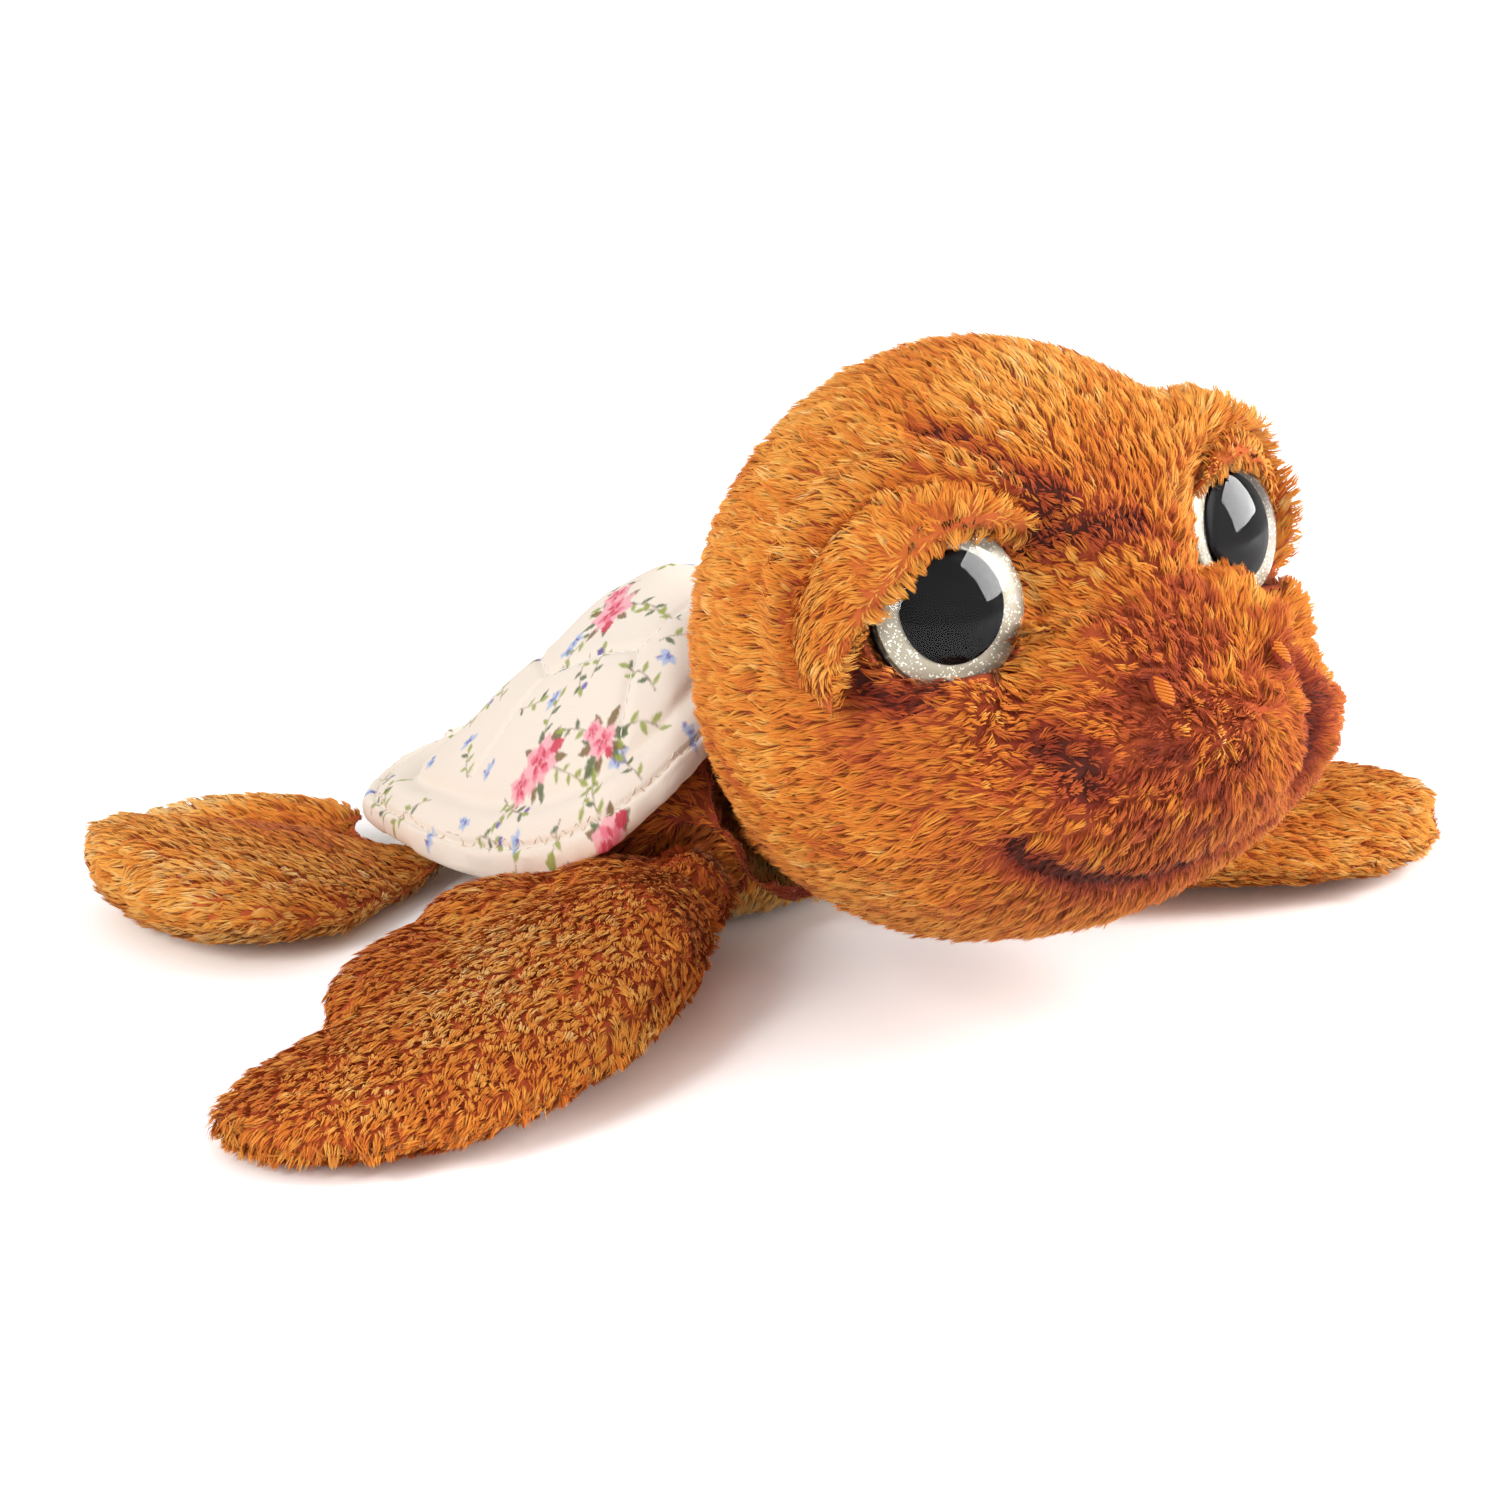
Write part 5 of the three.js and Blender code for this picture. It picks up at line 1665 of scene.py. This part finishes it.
def rose(middle, size, turn, dice):
    """A full rose: ragged pale petals, a mid ring and a deep curled heart."""
    for k in range(7):
        at = turn + k * 2 * math.pi / 7 + dice.normal(0, 0.15)
        petal(middle, at, size * dice.uniform(0.5, 0.64), size * 0.42, ROSE_PALE, 0.12)
    for k in range(5):
        at = turn + 0.4 + k * 2 * math.pi / 5 + dice.normal(0, 0.2)
        petal(middle + size * 0.08 * towards(at), at + 0.7, size * 0.34, size * 0.2, ROSE_MID, 0.2, 0.85)
    for k in range(4):
        at = turn + k * 1.7
        petal(middle + size * 0.12 * towards(at), at + 1.5, size * 0.24, size * 0.11, ROSE_DEEP, 0.0, 0.9)
    spot(middle, size * 0.16, ROSE_DEEP)


def sprig(middle, turn, dice):
    """A few blue petals with violet strokes."""
    for k in range(4):
        petal(middle, turn + k * 0.9 - 1.3, 2.6, 1.5, SPRIG_BLUE, 0.1, 0.7)
    for k in range(3):
        start = middle + dice.normal(0, 0.5, 2)
        petal(start, turn + k * 0.7 - 0.7, 1.7, 0.6, SPRIG_VIOLET, 0.0, 0.8)


def leafy_vine(middle, turn, long, bend, dice):
    """A stem with leaves on both sides in turn, and now and then a bud."""
    stops = vine(middle, turn, long, bend, VINE_BROWN)
    for k in range(2, len(stops), 4):
        place, way = stops[k]
        side = 1 if (k // 4) % 2 else -1
        colour = LEAF_LIGHT if dice.random() < 0.65 else LEAF_GREEN
        petal(place, way + side * 0.9, dice.uniform(2.0, 3.0), dice.uniform(0.9, 1.3), colour)
    place, way = stops[-1]
    petal(place, way, 2.8, 1.2, LEAF_LIGHT)
    if dice.random() < 0.5:
        spot(place + 1.2 * towards(way + 1), 1.5, SPRIG_VIOLET)


def bouquet(middle, turn, size, dice):
    """Two roses and a folded petal in a nest of leaves with vines leaving it."""
    for k in range(9):
        at = turn + k * 0.7 + dice.normal(0, 0.15)
        start = middle + size * 0.32 * towards(at)
        colour = LEAF_GREEN if k % 2 else LEAF_BROWN
        petal(start, at, dice.uniform(3.4, 5.0), dice.uniform(1.5, 2.1), colour, 0.1)
    for k in range(3):
        at = turn + 0.5 + k * 2.1
        leafy_vine(middle + size * 0.5 * towards(at), at, 9, 0.06 * (1 - k), dice)
    rose(middle, size, turn, dice)
    at = turn + 0.4
    rose(middle + size * 0.62 * towards(at), size * 0.72, turn + 1, dice)
    petal(middle - size * 0.3 * towards(at), at + 3.0, size * 0.4, size * 0.3, ROSE_DEEP, 0.2)


print("motifs: rose, sprig, leafy vine and bouquet")

# %% [markdown]
# ## Print the cotton
# The motifs that the camera sees stand near their places in the picture, and the rest of the
# shell is filled at random with some room between them, as on a printed cloth.

# %% Print the pattern
print_dice = np.random.default_rng(5)
PRINT_TRIES = 900
BOUQUET_SHARE = 0.2
SPRIG_SHARE = 0.5
SEEN_BOUQUETS = [((612, 612), 0.3, 9.5), ((540, 762), 2.2, 9.5), ((602, 742), 1.0, 6.0)]
SEEN_SPRIGS = [(566, 655), (670, 655), (575, 640), (490, 770), (466, 820), (617, 755), (470, 742)]
SEEN_VINES = [(640, 580, 2.4), (590, 655, 3.6), (500, 700, 0.6), (655, 690, 1.2), (505, 800, 4.4),
              (660, 640, 5.6), (560, 820, 3.4), (430, 800, 2.0), (680, 620, 1.4), (385, 830, 0.4)]


def plan_of(picture_spot):
    """The place in the cotton's plan behind a spot of the picture."""
    found = spot_on(shell_tree, picture_spot)
    if found is None:
        return None
    turn, out = shell_plan(found[None, :])
    return towards(turn[0]) * out[0]


placed = []
for x, y, turn in SEEN_VINES:
    place = plan_of((x, y))
    if place is not None:
        leafy_vine(place, turn, 10, 0.05, print_dice)
        placed.append(place)
for picture_spot in SEEN_SPRIGS:
    place = plan_of(picture_spot)
    if place is not None:
        sprig(place, print_dice.uniform(0, 6), print_dice)
        placed.append(place)
for picture_spot, turn, size in SEEN_BOUQUETS:
    place = plan_of(picture_spot)
    if place is not None:
        bouquet(place, turn, size, print_dice)
        placed.append(place)
limit = RIM_REACH.max() + 6
for _ in range(PRINT_TRIES):
    place = print_dice.uniform(-limit, limit, 2)
    kind = print_dice.random()
    room = 13 if kind < BOUQUET_SHARE else 7.5
    if np.linalg.norm(place) > limit or min(np.linalg.norm(place - p) for p in placed) < room:
        continue
    turn = print_dice.uniform(0, 2 * math.pi)
    if kind < BOUQUET_SHARE:
        bouquet(place, turn, print_dice.uniform(6, 9), print_dice)
    elif kind < SPRIG_SHARE:
        sprig(place, turn, print_dice)
    else:
        long = print_dice.uniform(6, 10)
        leafy_vine(place, turn, long, print_dice.choice([-0.06, 0.06]), print_dice)
    placed.append(place)
opaque = np.concatenate([dyed, np.ones((len(dyed), 1))], axis=1).astype(np.float32)
print_layer = shell.data.color_attributes.new("Print", "FLOAT_COLOR", "POINT")
print_layer.data.foreach_set("color", opaque.ravel())
print("motifs printed:", len(placed))

# %% [markdown]
# ## The weave of the cotton
# The cloth is a plain weave, dull and a little faded. Two crossed wave textures stand for its
# threads and lift the surface by a tenth of a millimetre. A woven mesh would be far too heavy.

# %% Cotton finish


def cotton_finish(name):
    finish = Finish(name)
    place = finish.on_piece()
    pattern = finish.node("ShaderNodeVertexColor", settings={"layer_name": "Print"})
    warp, weft = (
        finish.node("ShaderNodeTexWave", output=1, settings={"bands_direction": way},
                    Vector=place, Scale=900.0, Distortion=0.6, Detail=1.0)
        for way in ("X", "Y")
    )
    wear_and_shade = finish.noise(place, 60.0, 3.0)
    threads = warp * 0.5 + weft * 0.5
    faded = finish.mix((1 - threads) * 0.06 + wear_and_shade * 0.05, pattern, rgb(214, 196, 178))
    relief = finish.bump(threads, 0.22, 0.00012)
    return finish.set(Base_Color=faded, Roughness=0.86, Normal=relief)


shell.data.materials.append(cotton_finish("printed_cotton_shell"))
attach(shell, "torso")
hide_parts(*SHELL_SOLIDS)
print("cotton points:", len(shell.data.vertices))

# %% [markdown]
# ## Stitches
# Short thread stitches hold the rolled edge and the quilting. A line of dashes in the print
# would not catch the light, so each stitch is a small rounded bar that sinks at both ends, as
# a real one does.

# %% Sew along a path
BAR_SHARES = (0, 0.25, 0.5, 0.75, 1)
BAR_SIDES = 6
BAR_FACES = (len(BAR_SHARES) - 1) * BAR_SIDES + 2


def sewn(name, path, material, long, gap, thick=0.3):
    """A row of stitches along a path over the shell, in millimetres."""
    steps = np.linalg.norm(np.diff(path, axis=0), axis=1)
    travelled = np.concatenate([[0], np.cumsum(steps)]) / MM
    bm = bmesh.new()
    at = 0.0
    while at + long < travelled[-1]:
        rings = []
        for share in BAR_SHARES:
            here = at + long * share
            place = Vector([np.interp(here, travelled, path[:, k]) for k in range(3)])
            after = Vector([np.interp(here + 0.1, travelled, path[:, k]) for k in range(3)])
            hit, facing, _, _ = shell_tree.find_nearest(place)
            way = (after - place).normalized()
            side = way.cross(facing).normalized()
            lift = (math.sin(math.pi * share) * 0.45 - 0.15) * thick
            size = thick / 2 * (0.55 + 0.45 * math.sin(math.pi * share))
            rings.append(circle(hit + facing * lift * MM, side, facing, size, BAR_SIDES))
        add_tube(bm, rings)
        at += long + gap
    bmesh.ops.recalc_face_normals(bm, faces=bm.faces)
    mesh = mesh_of(bm, name)
    smooth_shaded(mesh)
    made = piece(name, mesh)
    mesh.materials.append(material)
    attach(made, "torso")
    print(name, "has", len(mesh.polygons) // BAR_FACES, "stitches")


def shell_path(turns, outs):
    """Places on the shell at given turns and distances from its top, in millimetres."""
    rows = []
    for turn, out in zip(turns, outs):
        way = Vector((math.cos(turn), math.sin(turn), 0))
        best = None
        for flat in np.linspace(out * 0.5, out, 40):
            start = Vector(SHELL_APEX) + way * flat * MM + Vector((0, 0, 0.05))
            hit = shell_tree.ray_cast(start, Vector((0, 0, -1)))[0]
            if hit is None:
                continue
            reach = (hit - Vector(SHELL_APEX)).length / MM
            if best is None or abs(reach - out) < best[0]:
                best = (abs(reach - out), hit)
        if best is not None and best[0] < 1.5:
            rows.append(np.array(best[1]))
    return np.array(rows)


shell_tree = tree_of(shell)
thread_cream = plain_gloss("cream_thread", rgb(226, 208, 186), 0.7)
thread_white = plain_gloss("white_thread", rgb(246, 244, 240), 0.6)
edge_turns = np.linspace(-math.pi, math.pi, 241)
edge_outs = rim_distance(edge_turns) - EDGE_SEAM - 0.5
sewn("edge_stitches", shell_path(edge_turns, edge_outs), thread_cream, 1.6, 0.7)
step = 2 * math.pi / SCUTE_SIDES
ring_local = (edge_turns + math.pi / 2) % step - step / 2
ring_out = SCUTE_RING * math.cos(step / 2) / np.cos(ring_local) * rim_distance(edge_turns)
sewn("scute_ring_stitches", shell_path(edge_turns, ring_out), thread_white, 1.7, 1.3)
for k in range(SCUTE_SIDES):
    turn = -math.pi / 2 + step * k
    reach = rim_distance(np.array([turn]))[0]
    outs = np.linspace(SCUTE_RING * reach, 0.74 * reach, 30)
    sewn("scute_spoke_stitches_" + str(k), shell_path([turn] * 30, outs), thread_white, 1.7, 1.3)

# %% [markdown]
# ## The floor and the light round it
# The toy stands on a wide pale sheet in an even white room. To the camera and to gloss both
# are plain white, and to the cloth they give a softer light, so the pile keeps its shades
# without a grey ground behind it. A light path node tells the two apart.

# %% Floor and world
FLOOR_HALF = 6
WORLD_LIGHT = 0.68


def seen_straight(tree):
    """1 for the camera and for what gloss or glass shows, else 0."""
    camera_ray = add_node(tree, "ShaderNodeLightPath", "Is Camera Ray")
    glossy_ray = add_node(tree, "ShaderNodeLightPath", "Is Glossy Ray")
    glass_ray = add_node(tree, "ShaderNodeLightPath", "Is Transmission Ray")
    return camera_ray | glossy_ray | glass_ray


def sheet(name, half_wide, half_high):
    """A flat sheet with four corners, in metres."""
    corners = [(x * half_wide, y * half_high, 0) for x, y in ((-1, -1), (1, -1), (1, 1), (-1, 1))]
    mesh = bpy.data.meshes.new(name)
    mesh.from_pydata(corners, [], [(0, 1, 2, 3)])
    return piece(name, mesh)


floor = sheet("floor", FLOOR_HALF, FLOOR_HALF)
pale = Finish("pale_floor")
floor_colour = pale.mix(seen_straight(pale.tree), (0.8, 0.8, 0.8, 1), (1.4, 1.4, 1.4, 1))
floor.data.materials.append(pale.set(Base_Color=floor_colour, Roughness=0.9, Specular_IOR_Level=0.0))

world = bpy.data.worlds.new("studio")
bpy.context.scene.world = world
world.use_nodes = True
sky = world.node_tree.nodes["Background"]
sky.inputs["Color"].default_value = (1, 1, 1, 1)
sky_light = seen_straight(world.node_tree) * (1 - WORLD_LIGHT) + WORLD_LIGHT
join(world.node_tree, sky.inputs["Strength"], sky_light)
bpy.context.scene.view_settings.view_transform = "Standard"
print("light of the world on the cloth:", WORLD_LIGHT)

# %% [markdown]
# ## Lamps
# Two large soft lamps stand where the reflections in the eyes show them. A lamp of this size
# lights softly but would be a grey patch in a dome, so each has a bright card just behind
# it, which only gloss sees, like the window of a room.

# %% Lamps and their cards


def lamp(name, azimuth, elevation, size, power, card_size, distance=1.5, gleam=26):
    """A soft lamp that faces the head, with a card that only gloss shows, in metres."""
    a = math.radians(azimuth)
    e = math.radians(elevation)
    way = Vector((math.sin(a) * math.cos(e), -math.cos(a) * math.cos(e), math.sin(e)))
    data = bpy.data.lights.new(name, "AREA")
    data.shape = "RECTANGLE"
    data.size, data.size_y = size
    data.energy = power
    made = bpy.data.objects.new(name, data)
    made.location = Vector((0, -0.05, 0.07)) + way * distance
    made.rotation_euler = way.to_track_quat("Z", "Y").to_euler()
    made.visible_glossy = False
    shown.link(made)
    card = sheet(name + "_card", card_size[0] / 2, card_size[1] / 2)
    card.location = made.location + way * 0.02
    card.rotation_euler = made.rotation_euler
    glow = Finish(name + "_card")
    clear = glow.node("ShaderNodeBsdfTransparent")
    shine = glow.node("ShaderNodeEmission", Strength=gleam)
    by_gloss = glow.node("ShaderNodeLightPath", "Is Glossy Ray")
    choice = glow.node("ShaderNodeMixShader", places={0: by_gloss, 1: clear, 2: shine})
    join(glow.tree, glow.tree.nodes["Material Output"].inputs["Surface"], choice)
    card.data.materials.append(glow.material)
    print(name, "at", tuple(round(c, 2) for c in made.location), "m")


lamp("lamp_right", 48, 30, (0.6, 1.0), 20, (1.2, 1.1))
lamp("lamp_left", -88, 30, (0.45, 0.8), 10, (1.0, 1.1))
